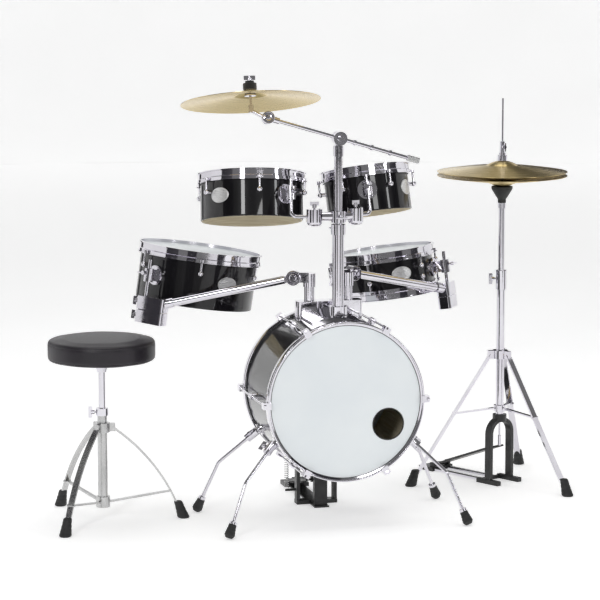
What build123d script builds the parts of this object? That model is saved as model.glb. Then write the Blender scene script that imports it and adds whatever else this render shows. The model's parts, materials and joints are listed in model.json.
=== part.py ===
from build123d import *
import os
from math import cos, hypot, radians, sin, tan

# Acoustic drum kit, millimetres, +Z up, +X to the right as the audience sees it, +Y toward the drummer.
# The kit is drawn about the point on the floor under the bass drum and recentred on its own footprint last.

# ---------------------------------------------------------------- driving dimensions
BASS_R = 228.6            # 18 inch shell
BASS_DEPTH = 305.0        # 12 inches deep
BASS_Z = 377.2            # height of the bass drum's axis
BASS_WALL = 8.0
BASS_LUGS = 6
BASS_HOOP_R = 236.0
PORT_R = 46.0             # port hole in the front head
PORT_X, PORT_Z = 128.0, -71.0

HOOP_DROP = 22.0          # depth of a hoop below the bearing edge
LUG_DROP, SNARE_LUG_DROP = 54.0, 46.0

SPUR_R = 5.25
SPUR_KNEE = (105.0, 155.0)    # reach from the bracket and height of the bend
SPUR_END = (168.0, 18.0)
SPUR_TOP = (-16.0, 259.0)

POST_X, POST_Y = 10.0, -25.0
MAIN_POST_R, UPPER_POST_R = 17.5, 12.5
MAIN_POST_TOP = 887.0
UPPER_POST_TOP = 1100.0
COLLAR_HIGH = 641.0
BLOCK_TOP = 645.0
FIT = 0.05                # radial running clearance

CLAMP_Z = 906.0
HOLDER_R = 23.0
ROD_R = 5.25              # L-rods that carry the drums
BOOM_Z = 1136.0
BOOM_SLOPE = 16.5         # degrees, down to the right
BOOM_R = 5.5
CRASH_R = 203.0           # 16 inch
CRASH_TILT = 13.5
CRASH_BOLT = (-255.0, 1223.0)

ARM_DROP = 12.2           # degrees each arm slopes down outward
ARM_R = 12.5
ARM_REACH, ROD_REACH = 417.0, 433.0
ARM_Z = 717.0
RATCHET_P, RATCHET_Q = 45.0, 34.0
RATCHET_R = 21.5

HAT_X, HAT_Y = 641.6, 357.8
HAT_R = 203.0             # 16 inch pair
HAT_ROD_R = 3.0
HAT_SPREAD = 290.0
HAT_LEG_ANGLES = [178.7, 298.7, 58.7]
HAT_BOARD_ANGLE = 118.0

THRONE_X, THRONE_Y = -667.5, 137.7
SEAT_R, SEAT_LOW, SEAT_HIGH = 164.0, 481.0, 548.0
THRONE_SPREAD = 240.0
THRONE_LEG_ANGLES = [112.5, 232.5, 352.5]

NODES = {}                # node name -> shape
AXES = {}                 # joint name -> (point, direction), read by whoever describes the motion


# ---------------------------------------------------------------- small shared shapes
def rod(start, end, radius):
    """Round bar between two points."""
    start, end = Vector(*start), Vector(*end)
    axis = end - start
    bar = Cylinder(radius, axis.length, align=(Align.CENTER, Align.CENTER, Align.MIN))
    return Plane(origin=start, z_dir=axis) * bar


def tube(start, end, outer, inner):
    """Round bar with a hole along its whole length."""
    return rod(start, end, outer) - rod(start, end, inner)


def bent_rod(points, radius, bend):
    """Round bar that follows straight runs joined by arcs."""
    path = FilletPolyline(*[Vector(*p) for p in points], radius=bend)
    return sweep(Plane(origin=path @ 0, z_dir=path % 0) * Circle(radius), path)


def bar(start, end, width, thick, side):
    """Flat bar between two points; side is the direction its width lies along."""
    start, end = Vector(*start), Vector(*end)
    axis = end - start
    strip = Box(width, thick, axis.length, align=(Align.CENTER, Align.CENTER, Align.MIN))
    return Plane(origin=start, x_dir=Vector(*side), z_dir=axis) * strip


def turned(profile, plane=Plane.XY):
    """Solid of revolution about the plane's Z from (radius, height) points."""
    face = make_face(Polyline(*[(r, 0, z) for r, z in profile], close=True))
    return plane * revolve(face, axis=Axis.Z)


def wing_bolt(seat, direction, length=16.0, wing=(1, 0, 0), span=34.0):
    """Wing bolt that stands on seat: a stem, a hub and two flat ears."""
    plane = Plane(origin=Vector(*seat), x_dir=Vector(*wing), z_dir=Vector(*direction))
    low = (Align.CENTER, Align.CENTER, Align.MIN)
    bolt = Cylinder(3.2, length, align=low) + Pos(0, 0, length - 10) * Cylinder(6.2, 10, align=low)
    ears = Pos(0, 0, length - 4) * Box(span, 3.4, 12, align=low)
    return plane * (bolt + ears)


def plan(angle):
    """Unit direction on the floor plan."""
    return Vector(cos(radians(angle)), sin(radians(angle)), 0)


def add(name, *shapes):
    """Store a node; several shapes become several solids of the same node."""
    solids = [s for shape in shapes for s in shape.solids()]
    NODES[name] = solids[0] if len(solids) == 1 else Compound(solids)


def fused(*shapes):
    """Join shapes into one solid."""
    body = shapes[0]
    for shape in shapes[1:]:
        body = body + shape
    return body


# ---------------------------------------------------------------- drums
def drum_head(radius, face, sense=1.0):
    """Film with its folded edge over the shell; face is the height of the bearing edge."""
    profile = [(0, 0.1), (radius + 0.8, 0.1), (radius + 0.8, -9), (radius + 3.2, -9), (radius + 3.2, 0.9), (0, 0.9)]
    return turned([(r, face + sense * z) for r, z in profile])


def drum_hoop(radius, face, sense=1.0):
    """Deep pressed hoop: rolled lip on top, a wall with one step, and the ear flange below."""
    profile = [(3.5, -HOOP_DROP), (11.5, -HOOP_DROP), (11.5, 2.4 - HOOP_DROP), (8.6, 2.4 - HOOP_DROP), (8.6, -11),
               (6.2, -9), (6.2, 7.4), (10.5, 7.4), (10.5, 10), (3.5, 10)]
    return turned([(radius + r, face + sense * z) for r, z in profile])


def hoop_ear(radius, face, angle, sense=1.0):
    """Tab that the tension rod passes through."""
    tab = Pos(radius + 14, 0, face - sense * (HOOP_DROP - 1.2)) * (Box(14, 17, 2.4) - Cylinder(3.2, 4))
    return Rot(0, 0, angle) * tab


def tension_set(radius, face, angle, drop, shell_cut, sense=1.0):
    """Small ball lug on the shell with its tension rod up through the hoop's ear."""
    reach = radius + 15.5
    lug_z = face - sense * drop
    ball = Pos(reach, 0, lug_z) * Sphere(8.2)
    foot = rod((radius - 3, 0, lug_z), (reach, 0, lug_z), 6.0)
    ear_top = face - sense * (HOOP_DROP - 2.4)
    screw = rod((reach, 0, lug_z), (reach, 0, ear_top), 3.0)
    head = rod((reach, 0, ear_top), (reach, 0, ear_top + sense * 8), 5.2)
    return Rot(0, 0, angle) * (fused(ball, foot, screw, head) - shell_cut)


def drum(name, radius, depth, wall, plane, lug_angles, snare=False):
    """One drum on its own plane: shell, head, hoop and lugs. Returns the bare outer cylinder."""
    half = depth / 2
    outer = Cylinder(radius, depth)
    shell = outer - Cylinder(radius - wall, depth + 2)
    add(name + "_shell", plane * shell)
    hoops, heads = [drum_hoop(radius, half)], [drum_head(radius, half)]
    drop = SNARE_LUG_DROP if snare else LUG_DROP
    lugs = [tension_set(radius, half, a, drop, outer) for a in lug_angles]
    ears = [hoop_ear(radius, half, a) for a in lug_angles]
    if snare:
        hoops.append(drum_hoop(radius, -half, -1))
        heads.append(drum_head(radius, -half, -1))
        lugs += [tension_set(radius, -half, a, drop, outer, -1) for a in lug_angles]
        ears += [hoop_ear(radius, -half, a, -1) for a in lug_angles]
    count = len(lug_angles)
    rims = [fused(hoop, *ears[i * count:(i + 1) * count]) for i, hoop in enumerate(hoops)]
    add(name + ("_heads" if snare else "_head"), *[plane * h for h in heads])
    return outer, [plane * s for s in rims + lugs]


def rod_mount(radius, angle, stand, outer):
    """Round plate on the shell and the clamp eye that grips the drum's rod, in the drum's frame."""
    plate = rod((radius - 6, 0, 0), (radius + 9, 0, 0), 29) - outer
    rib = Pos(radius + 4 + stand / 2, 0, 0) * Box(stand, 16, 34)
    eye = Pos(radius + stand, 0, 0) * Cylinder(14, 40)
    rim = tube((radius + 8, 0, 0), (radius + 12, 0, 0), 27, 22)
    body = fused(plate, rib - outer, eye, rim) - Pos(radius + stand, 0, 0) * Cylinder(ROD_R + FIT, 60)
    bolt = wing_bolt((radius + stand + 13.6, 0, 6), (1, 0, 0), 15, (0, 1, 0), 30)
    return Rot(0, 0, angle) * body, Rot(0, 0, angle) * bolt


# Places of the four tom and snare drums: middle of the shell, the way the axis points, and the
# side of the shell that faces the rod.
TOMS = {
    "tom12": dict(radius=153.0, depth=130.0, axis=(0.042, 0.2215, 0.974), stand=34.0,
                  corner=(-125.0, 0.6, CLAMP_Z), mount=(0.410, -0.912), rise=69.8),
    "tom10": dict(radius=126.5, depth=128.0, axis=(-0.0762, 0.2073, 0.975), stand=35.0,
                  corner=(119.8, 15.4, CLAMP_Z), mount=(-0.2468, -0.969), rise=74.9),
}


def drum_plane(centre, axis, mount):
    """Plane at the drum's middle with Z along its axis and X toward its mount."""
    axis = Vector(*axis).normalized()
    side = Vector(mount[0], mount[1], 0)
    side = (side - axis * side.dot(axis)).normalized()
    return Plane(origin=centre, x_dir=side, z_dir=axis)


def top_tom(name, radius, depth, axis, stand, corner, mount, rise):
    """Single-headed rack tom on an L-rod whose level leg is held by the post's clamp."""
    up = Vector(*axis).normalized()
    grip = Vector(*corner) + up * rise
    plane = drum_plane(grip, axis, mount)
    plane = Plane(origin=grip - plane.x_dir * (radius + stand), x_dir=plane.x_dir, z_dir=plane.z_dir)
    lug_angles = [30 + 60 * i for i in range(6)]
    outer, chrome = drum(name, radius, depth, 6.0, plane, lug_angles)
    body, bolt = rod_mount(radius, 0, stand, outer)
    add(name + "_hoop_and_lugs", *chrome, plane * (body + bolt))
    toward = Vector(POST_X - corner[0], POST_Y - corner[1], 0)
    away = toward.normalized()
    start = Vector(*corner) + away * (toward.length - 42)
    top = Vector(*corner) + up * (rise + 42)
    add(name + "_l_rod", bent_rod([tuple(start), corner, tuple(top)], ROD_R, 16))
    AXES[name + "_tilt"] = (Vector(*corner), away)
    AXES[name + "_swivel"] = (Vector(*corner), up)


def side_drum(name, radius, depth, centre, axis, mount, stand, clamp_z, lug_angles, snare=False):
    """Floor tom or snare held by a straight rod beside its shell."""
    plane = drum_plane(Vector(*centre), axis, mount)
    outer, chrome = drum(name, radius, depth, 6.0, plane, lug_angles, snare)
    body, bolt = rod_mount(radius, 0, stand, outer)
    chrome += [plane * (body + bolt)]
    grip = plane.origin + plane.x_dir * (radius + stand)
    up = plane.z_dir
    low = grip - up * ((grip.Z - clamp_z + 34) / up.Z)
    add(name + "_rod", rod(tuple(low), tuple(grip + up * 46), ROD_R))
    AXES[name + "_slide"] = (grip, up)
    return plane, outer, chrome, grip, up


STRAINER_R = 174.5


def snare_strainer(outer):
    """Throw-off box on the snare's shell, opposite its mount, and the lever that drops the wires."""
    pad = rod((-147, 0, 0), (-166, 0, 0), 13) - outer
    box = Pos(-STRAINER_R + 6.5, 0, 0) * Box(12, 30, 52)
    ears = [Pos(-STRAINER_R - 3, s * 11.6, -20) * Box(12, 4, 12) for s in (-1, 1)]
    body = fused(pad, box, *ears) - rod((-STRAINER_R - 5, -20, -20), (-STRAINER_R - 5, 20, -20), 2 + FIT)
    knuckle = rod((-STRAINER_R - 5, -9.2, -20), (-STRAINER_R - 5, 9.2, -20), 4.4)
    pin = rod((-STRAINER_R - 5, -13.4, -20), (-STRAINER_R - 5, 13.4, -20), 2)
    blade = Pos(-STRAINER_R - 4.5, 0, 6) * Box(4, 12, 50)
    return body, fused(knuckle, pin, blade)


# ---------------------------------------------------------------- bass drum
def bass_drum():
    """Shell, two heads, hoops, lugs with claws, and the four spur brackets."""
    flat = Plane(origin=(0, 0, BASS_Z), x_dir=(1, 0, 0), z_dir=(0, -1, 0))
    half = BASS_DEPTH / 2
    outer = Cylinder(BASS_R, BASS_DEPTH)
    add("bass_shell", flat * (outer - Cylinder(BASS_R - BASS_WALL, BASS_DEPTH + 2)))
    port = Pos(PORT_X, PORT_Z, half) * Cylinder(PORT_R, 40)
    add("bass_front_head", flat * (drum_head(BASS_R - 0.7, half) - port))
    add("bass_rear_head", flat * drum_head(BASS_R - 0.7, -half, -1))
    hoop = [(2.6, -18), (BASS_HOOP_R - BASS_R, -18), (BASS_HOOP_R - BASS_R, 12), (-3, 12), (-3, 1.1), (2.6, 1.1)]
    rings = [turned([(BASS_R + r, s * (half + z)) for r, z in hoop]) for s in (1, -1)]
    add("bass_hoops", *[flat * r for r in rings])
    hardware = []
    for i in range(BASS_LUGS):
        turn = Rot(0, 0, 360 / BASS_LUGS * i)
        reach = BASS_R + 17
        lug = fused(rod((BASS_R - 4, 0, 0), (reach, 0, 0), 11), rod((reach, 0, -17), (reach, 0, 17), 8)) - outer
        for s in (1, -1):
            screw = rod((reach, 0, s * 15), (reach, 0, s * (half + 18)), 3.2)
            claw = Pos(BASS_HOOP_R + 7, 0, s * (half + 3)) * Box(13.6, 20, 27)
            hook = Pos(BASS_HOOP_R - 1, 0, s * (half + 14.4)) * Box(16, 20, 4.6)
            key = Pos(reach, 0, s * (half + 20)) * Box(7, 7, 9)
            lug = fused(lug, screw, claw, hook, key)
        hardware.append(turn * lug - Compound(rings))
    return flat, [flat * h for h in hardware], flat * outer


def spur(name, side, end):
    """Bent leg of the bass drum with its rubber foot, and the bracket that grips it."""
    root = Vector(215 * side, -111, 0) if end < 0 else Vector(218 * side, 103, 0)
    foot = Vector(364 * side, -204, 0) if end < 0 else Vector(364 * side, 164, 0)
    out = (foot - root).normalized()

    def at(reach, height):
        return root + out * reach + Vector(0, 0, height)

    top, knee, low = at(*SPUR_TOP), at(*SPUR_KNEE), at(*SPUR_END)
    shin = (low - knee).normalized()
    leg = bent_rod([tuple(top), tuple(knee), tuple(low)], SPUR_R, 30)
    boot_top = low - shin * 26
    sole_r, lean = 10.0, hypot(shin.X, shin.Y)
    reach = (boot_top.Z - sole_r * lean) / -shin.Z
    outline = [(0, 0), (11.5, 0), (15.5, reach - 15), (15.5, reach - 10), (sole_r, reach), (0, reach)]
    boot = turned(outline, Plane(origin=boot_top, z_dir=shin))
    nut = rod(tuple(boot_top - shin * 8), tuple(boot_top - shin * 0.05), 11)
    add("spur_rod_" + name, fused(leg, nut))
    add("spur_foot_" + name, boot - rod(tuple(boot_top - shin * 4), tuple(low), SPUR_R))
    slope = (knee - top).normalized()
    AXES["spur_" + name] = (top, slope)
    return top, slope


def spur_brackets(outer):
    """Clamp blocks on the lower sides of the bass drum shell."""
    blocks = []
    for name, side, end in SPURS:
        top, slope = spur(name, side, end)
        seat = top + slope * 24
        inward = Vector(-seat.X, 0, BASS_Z - seat.Z).normalized()
        barrel = rod(tuple(top + slope * 6), tuple(top + slope * 44), 13)
        neck = rod(tuple(seat), tuple(seat + inward * 60), 12)
        reach = hypot(seat.X, BASS_Z - seat.Z) - BASS_R
        pad = rod(tuple(seat + inward * (reach - 5)), tuple(seat + inward * (reach + 8)), 21)
        block = fused(barrel, neck, pad) - outer - rod(tuple(top), tuple(top + slope * 60), SPUR_R + FIT)
        outward = (slope * slope.dot(inward) - inward).normalized()
        bolt = wing_bolt(tuple(seat + outward * 12.5), tuple(outward), 15, tuple(slope), 30)
        blocks += [fused(block, bolt)]
    return blocks


SPURS = [("front_left", -1, -1), ("front_right", 1, -1), ("rear_left", -1, 1), ("rear_right", 1, 1)]


# ---------------------------------------------------------------- central post
ARM_POSTS = {"left": (-52.0, 75.0, 161.0), "right": (66.0, 75.0, 27.5)}   # x, y, plan angle of the arm
ARM_POST_R = 15.0


def post_base(outer):
    """Saddle on the bass drum with the main collar and the cross block for the two side arms."""
    shoe = Pos(8, 22, BASS_Z + BASS_R) * Box(170, 165, 44)
    skin = rod((0, -70, BASS_Z), (0, 110, BASS_Z), BASS_R + 7)
    saddle = shoe & skin
    collar = rod((POST_X, POST_Y, BASS_Z + BASS_R - 6), (POST_X, POST_Y, COLLAR_HIGH), 26.5)
    block = Pos(7, 75, BLOCK_TOP) * Box(200, 46, 58, align=(Align.CENTER, Align.CENTER, Align.MAX))
    bridge = Pos(POST_X, 25, COLLAR_HIGH - 8) * Box(34, 70, 34, align=(Align.CENTER, Align.CENTER, Align.MAX))
    body = fused(saddle, collar, fillet(block.edges().filter_by(Axis.Z), 12), bridge) - outer
    body -= rod((POST_X, POST_Y, 612), (POST_X, POST_Y, COLLAR_HIGH + 1), MAIN_POST_R + FIT)
    for x, y, _ in ARM_POSTS.values():
        body -= rod((x, y, 612), (x, y, BLOCK_TOP + 1), ARM_POST_R + FIT)
    bolts = [wing_bolt((POST_X, POST_Y - 26, 620), (0, -1, 0), 16)]
    bolts += [wing_bolt((x, 98, 626), (0, 1, 0), 15) for x, _, _ in ARM_POSTS.values()]
    add("post_base", fused(body, *bolts))


def posts():
    """Main tube in the collar and the thinner upper tube with the boom's ratchet on top."""
    main = tube((POST_X, POST_Y, 612.4), (POST_X, POST_Y, MAIN_POST_TOP - 24), MAIN_POST_R, 14.5)
    grip = tube((POST_X, POST_Y, MAIN_POST_TOP - 34), (POST_X, POST_Y, MAIN_POST_TOP - 4), 21.5, UPPER_POST_R + FIT)
    ear = wing_bolt((POST_X, POST_Y + 21, MAIN_POST_TOP - 19), (0, 1, 0), 16)
    add("main_post", fused(main, grip, ear) - rod((POST_X, POST_Y, 700), (POST_X, POST_Y, 900), UPPER_POST_R + FIT))
    shaft = tube((POST_X, POST_Y, 740), (POST_X, POST_Y, UPPER_POST_TOP), UPPER_POST_R, 9.5)
    cap = rod((POST_X, POST_Y, 1083), (POST_X, POST_Y, 1114), 15.5)
    wheel = rod((POST_X, POST_Y - 6, BOOM_Z), (POST_X, POST_Y + 8, BOOM_Z), 20.5)
    stub = Pos(POST_X, POST_Y + 1, 1112) * Box(18, 14, 30)
    pin = rod((POST_X, POST_Y - 34, BOOM_Z), (POST_X, POST_Y, BOOM_Z), 4)
    nut = rod((POST_X, POST_Y - 33, BOOM_Z), (POST_X, POST_Y - 26.3, BOOM_Z), 8)
    knob = wing_bolt((POST_X, POST_Y + 7, BOOM_Z), (0, 1, 0), 16)
    add("upper_post", fused(shaft, cap, wheel, stub, pin, nut, knob))
    AXES["main_post"] = (Vector(POST_X, POST_Y, 612), Vector(0, 0, 1))
    AXES["boom"] = (Vector(POST_X, POST_Y, BOOM_Z), Vector(0, 1, 0))


def tom_clamp():
    """Split clamp on the upper post with a holder for each rack tom's L-rod."""
    post = Vector(POST_X, POST_Y, CLAMP_Z)
    body = rod((POST_X, POST_Y, CLAMP_Z - 17), (POST_X, POST_Y, CLAMP_Z + 17), 22)
    holders = []
    for name, near, far in (("tom12", 46, 94), ("tom10", 42, 82)):
        corner = TOMS[name]["corner"]
        out = Vector(corner[0] - POST_X, corner[1] - POST_Y, 0).normalized()
        body += rod(tuple(post), tuple(post + out * (near + 2)), 13)
        seat = post + out * ((near + far) / 2)
        cup = rod(tuple(seat - Vector(0, 0, 28)), tuple(seat + Vector(0, 0, 22)), HOLDER_R)
        body += fillet(cup.edges().sort_by(Axis.Z)[0], 13)
        holders.append((out, near, far))
    body -= rod((POST_X, POST_Y, CLAMP_Z - 40), (POST_X, POST_Y, CLAMP_Z + 40), UPPER_POST_R + FIT)
    bolts = []
    for out, near, far in holders:
        body -= rod(tuple(post + out * 38), tuple(post + out * (far + 5)), ROD_R + FIT)
        seat = post + out * ((near + far) / 2)
        bolts.append(wing_bolt(tuple(seat + Vector(0, 0, 21)), (0, 0, 1), 15, tuple(out), 26))
    bolts.append(wing_bolt((POST_X, POST_Y - 21.5, CLAMP_Z), (0, -1, 0), 16))
    add("tom_clamp", fused(body, *bolts))


# ---------------------------------------------------------------- side arms
def arm_frame(side):
    """Plane on a side arm's post: X out along the arm on the plan, Y to its left."""
    x, y, angle = ARM_POSTS[side]
    return Plane(origin=(x, y, 0), x_dir=plan(angle), z_dir=(0, 0, 1))


def arm_post(side):
    """Short post in the cross block with the fixed half of the arm's ratchet."""
    low = (Align.CENTER, Align.CENTER, Align.MIN)
    stem = Pos(0, 0, 612.4) * Cylinder(ARM_POST_R, 76, align=low)
    head = Pos(0, 0, 687) * Cylinder(18, 40, align=low)
    neck = Pos(22, 19.7, ARM_Z) * Box(46, 14, 30)
    wheel = rod((RATCHET_P, 12.7, ARM_Z), (RATCHET_P, 26.7, ARM_Z), RATCHET_R)
    pin = rod((RATCHET_P, 20, ARM_Z), (RATCHET_P, 48, ARM_Z), 4)
    nut = rod((RATCHET_P, 41.3, ARM_Z), (RATCHET_P, 50, ARM_Z), 8)
    knob = wing_bolt((RATCHET_P, 13, ARM_Z), (0, -1, 0), 14, (0, 0, 1), 28)
    plane = arm_frame(side)
    add(side + "_arm_post", plane * fused(stem, head, neck, wheel, pin, nut, knob))
    AXES[side + "_arm_swing"] = (plane.origin + Vector(0, 0, 612), Vector(0, 0, 1))
    AXES[side + "_arm_tilt"] = (plane.from_local_coords(Vector(RATCHET_P, RATCHET_Q, ARM_Z)), plane.y_dir)


def arm(side, grip, up, clamp_z):
    """Tube with the moving half of its ratchet and the clamp that grips the drum's rod."""
    drop = tan(radians(ARM_DROP))
    wheel = rod((RATCHET_P, 27, ARM_Z), (RATCHET_P, 41, ARM_Z), RATCHET_R)

    def at(reach):
        return (RATCHET_P + reach, RATCHET_Q, ARM_Z - reach * drop)

    plane = arm_frame(side)
    shaft = rod(at(26), at(ARM_REACH - 30), ARM_R) - rod(at(60), at(ARM_REACH - 40), 9.5)
    root = bar(at(0), at(34), 14, 20, (0, 1, 0))
    sleeve = rod(at(ARM_REACH - 60), at(ARM_REACH - 24), 16)
    tube_part = fused(wheel, root, shaft, sleeve)
    tube_part -= rod((RATCHET_P, 20, ARM_Z), (RATCHET_P, 48, ARM_Z), 4 + FIT)
    tube_part = plane * tube_part
    eye_mid = grip - up * ((grip.Z - clamp_z) / up.Z)
    end = plane.from_local_coords(Vector(*at(ARM_REACH - 26)))
    out = eye_mid - end
    out = (out - up * out.dot(up)).normalized()
    reach = (eye_mid - end).dot(out)
    frame = Plane(origin=eye_mid, x_dir=out, z_dir=up)
    upper = Pos(-reach / 2 + 2, 0, 7) * Box(reach + 34, 42, 39)
    lower = Pos(-reach / 2 + 2, 0, -34) * Box(reach + 34, 42, 37)
    halves = [fillet(half.edges().filter_by(Axis.Z), 9) for half in (upper, lower)]
    waist = Pos(-reach / 2, 0, -14) * Box(reach + 22, 34, 8)
    jaw = frame * fused(*halves, waist)
    bolts = [wing_bolt(tuple(eye_mid + out * 18.5 + up * z), tuple(out), 16, tuple(up), 26) for z in (8, -34)]
    body = fused(tube_part, jaw, *bolts)
    body -= rod(tuple(eye_mid - up * 60), tuple(eye_mid + up * 60), ROD_R + FIT)
    add(side + "_arm", body)
    AXES[side + "_rod_turn"] = (eye_mid, up)


# ---------------------------------------------------------------- boom and crash cymbal
def cymbal_profile(radius, hole, bow, bell_r, bell, thick):
    """Closed outline of a cymbal as two parallel curves, rim at height 0."""
    def skin(lift):
        rim, crest, cup = (radius, 0, lift), (bell_r, 0, bow + lift), (hole, 0, bow + bell + lift)
        mid = ((radius + bell_r) / 2, 0, bow * 0.62 + lift)
        shoulder = ((bell_r + hole) / 2 + 3, 0, bow + bell * 0.74 + lift)
        return ThreePointArc(rim, mid, crest), ThreePointArc(crest, shoulder, cup)
    low, high = skin(0), skin(thick)
    sides = [Line(low[0] @ 0, high[0] @ 0), Line(low[1] @ 1, high[1] @ 1)]
    return make_face([*low, *high, *sides])


def cymbal(plane, radius, hole=6.3, bow=19.0, bell_r=46.0, bell=15.0, thick=1.2):
    """Cymbal with its rim on the plane and its bell along the plane's Z."""
    face = cymbal_profile(radius, hole, bow, bell_r, bell, thick)
    return plane * revolve(face, axis=Axis.Z)


def boom_and_crash():
    """Boom rod through the post's ratchet, the cymbal tilter, felts and the crash cymbal."""
    slope = radians(BOOM_SLOPE)
    run = Vector(cos(slope), 0, -sin(slope))
    y = POST_Y - 16.3
    hub = Vector(POST_X, y, BOOM_Z)
    wheel = rod((POST_X, POST_Y - 26, BOOM_Z), (POST_X, POST_Y - 6.3, BOOM_Z), 20.5)
    shaft = rod(tuple(hub - run * 195), tuple(hub + run * 250), BOOM_R)
    marks = [rod(tuple(hub + run * d), tuple(hub + run * (d + 8)), 8) for d in (42, 96, 154)]
    grip = rod(tuple(hub + run * 212), tuple(hub + run * 250), 8.5)
    body = fused(shaft, wheel, *marks, grip)
    body -= rod((POST_X, POST_Y - 40, BOOM_Z), (POST_X, POST_Y + 10, BOOM_Z), 4 + FIT)
    head = hub - run * 225
    fork = rod(tuple(head), tuple(hub - run * 190), 9)
    tilt = radians(CRASH_TILT)
    side = Vector(0, cos(tilt), -sin(tilt))
    up = Vector(0, sin(tilt), cos(tilt))
    disc = rod(tuple(head + side * 0), tuple(head + side * 10), 18)
    pin = rod(tuple(head - side * 14), tuple(head + side * 14), 3.5)
    add("boom_rod", fused(body, fork - rod(tuple(head - side * 20), tuple(head), 18.6), disc, pin))
    AXES["tilter"] = (head, side)
    plate = rod(tuple(head - side * 10.3), tuple(head - side * 0.3), 18) - rod(
        tuple(head - side * 20), tuple(head + side * 20), 3.5 + FIT)
    bolt_x = CRASH_BOLT[0]
    foot = head - side * 5.3 + Vector(bolt_x - head.X, 0, 0) + up * 22
    link = rod(tuple(head - side * 5.3 + Vector(-15, 0, 3)), tuple(foot), 5.0)
    collar = rod(tuple(foot - up * 7), tuple(foot + up * 16), 7.5)
    stem = rod(tuple(foot - up * 4), tuple(foot + up * 102), 4)
    seat = rod(tuple(foot + up * 42), tuple(foot + up * 46), 17)
    wing = Plane(origin=foot + up * 86, x_dir=(1, 0, 0), z_dir=up)
    nut = wing * (Cylinder(7, 8, align=(Align.CENTER, Align.CENTER, Align.MIN)) + Pos(0, 0, 9) * Box(34, 4, 13))
    add("crash_tilter", fused(plate, link, collar, stem, seat, nut))
    felt_low = tube(tuple(foot + up * 46.1), tuple(foot + up * 56.4), 16, 4.1)
    sleeve = tube(tuple(foot + up * 56.4), tuple(foot + up * 61), 5.6, 4.1)
    felt_high = tube(tuple(foot + up * 61), tuple(foot + up * 79), 20, 4.1)
    washer = tube(tuple(foot + up * 79), tuple(foot + up * 85.8), 13, 4.1)
    add("crash_felts", fused(felt_low, sleeve, felt_high, washer))
    rim = Plane(origin=foot + up * (57.9 - 34.0), x_dir=(1, 0, 0), z_dir=up)
    add("crash_cymbal", cymbal(rim, CRASH_R))
    AXES["crash"] = (foot + up * 58, up)


# ---------------------------------------------------------------- bass drum pedal
PEDAL_X = 4.0
PEDAL_AXLE = (210.0, 205.0)        # y, z
PEDAL_HEEL = (452.0, 20.0)
PEDAL_CAM_R = 30.0        # the chain's radius: footboard length over this is the pedal's ratio


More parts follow.
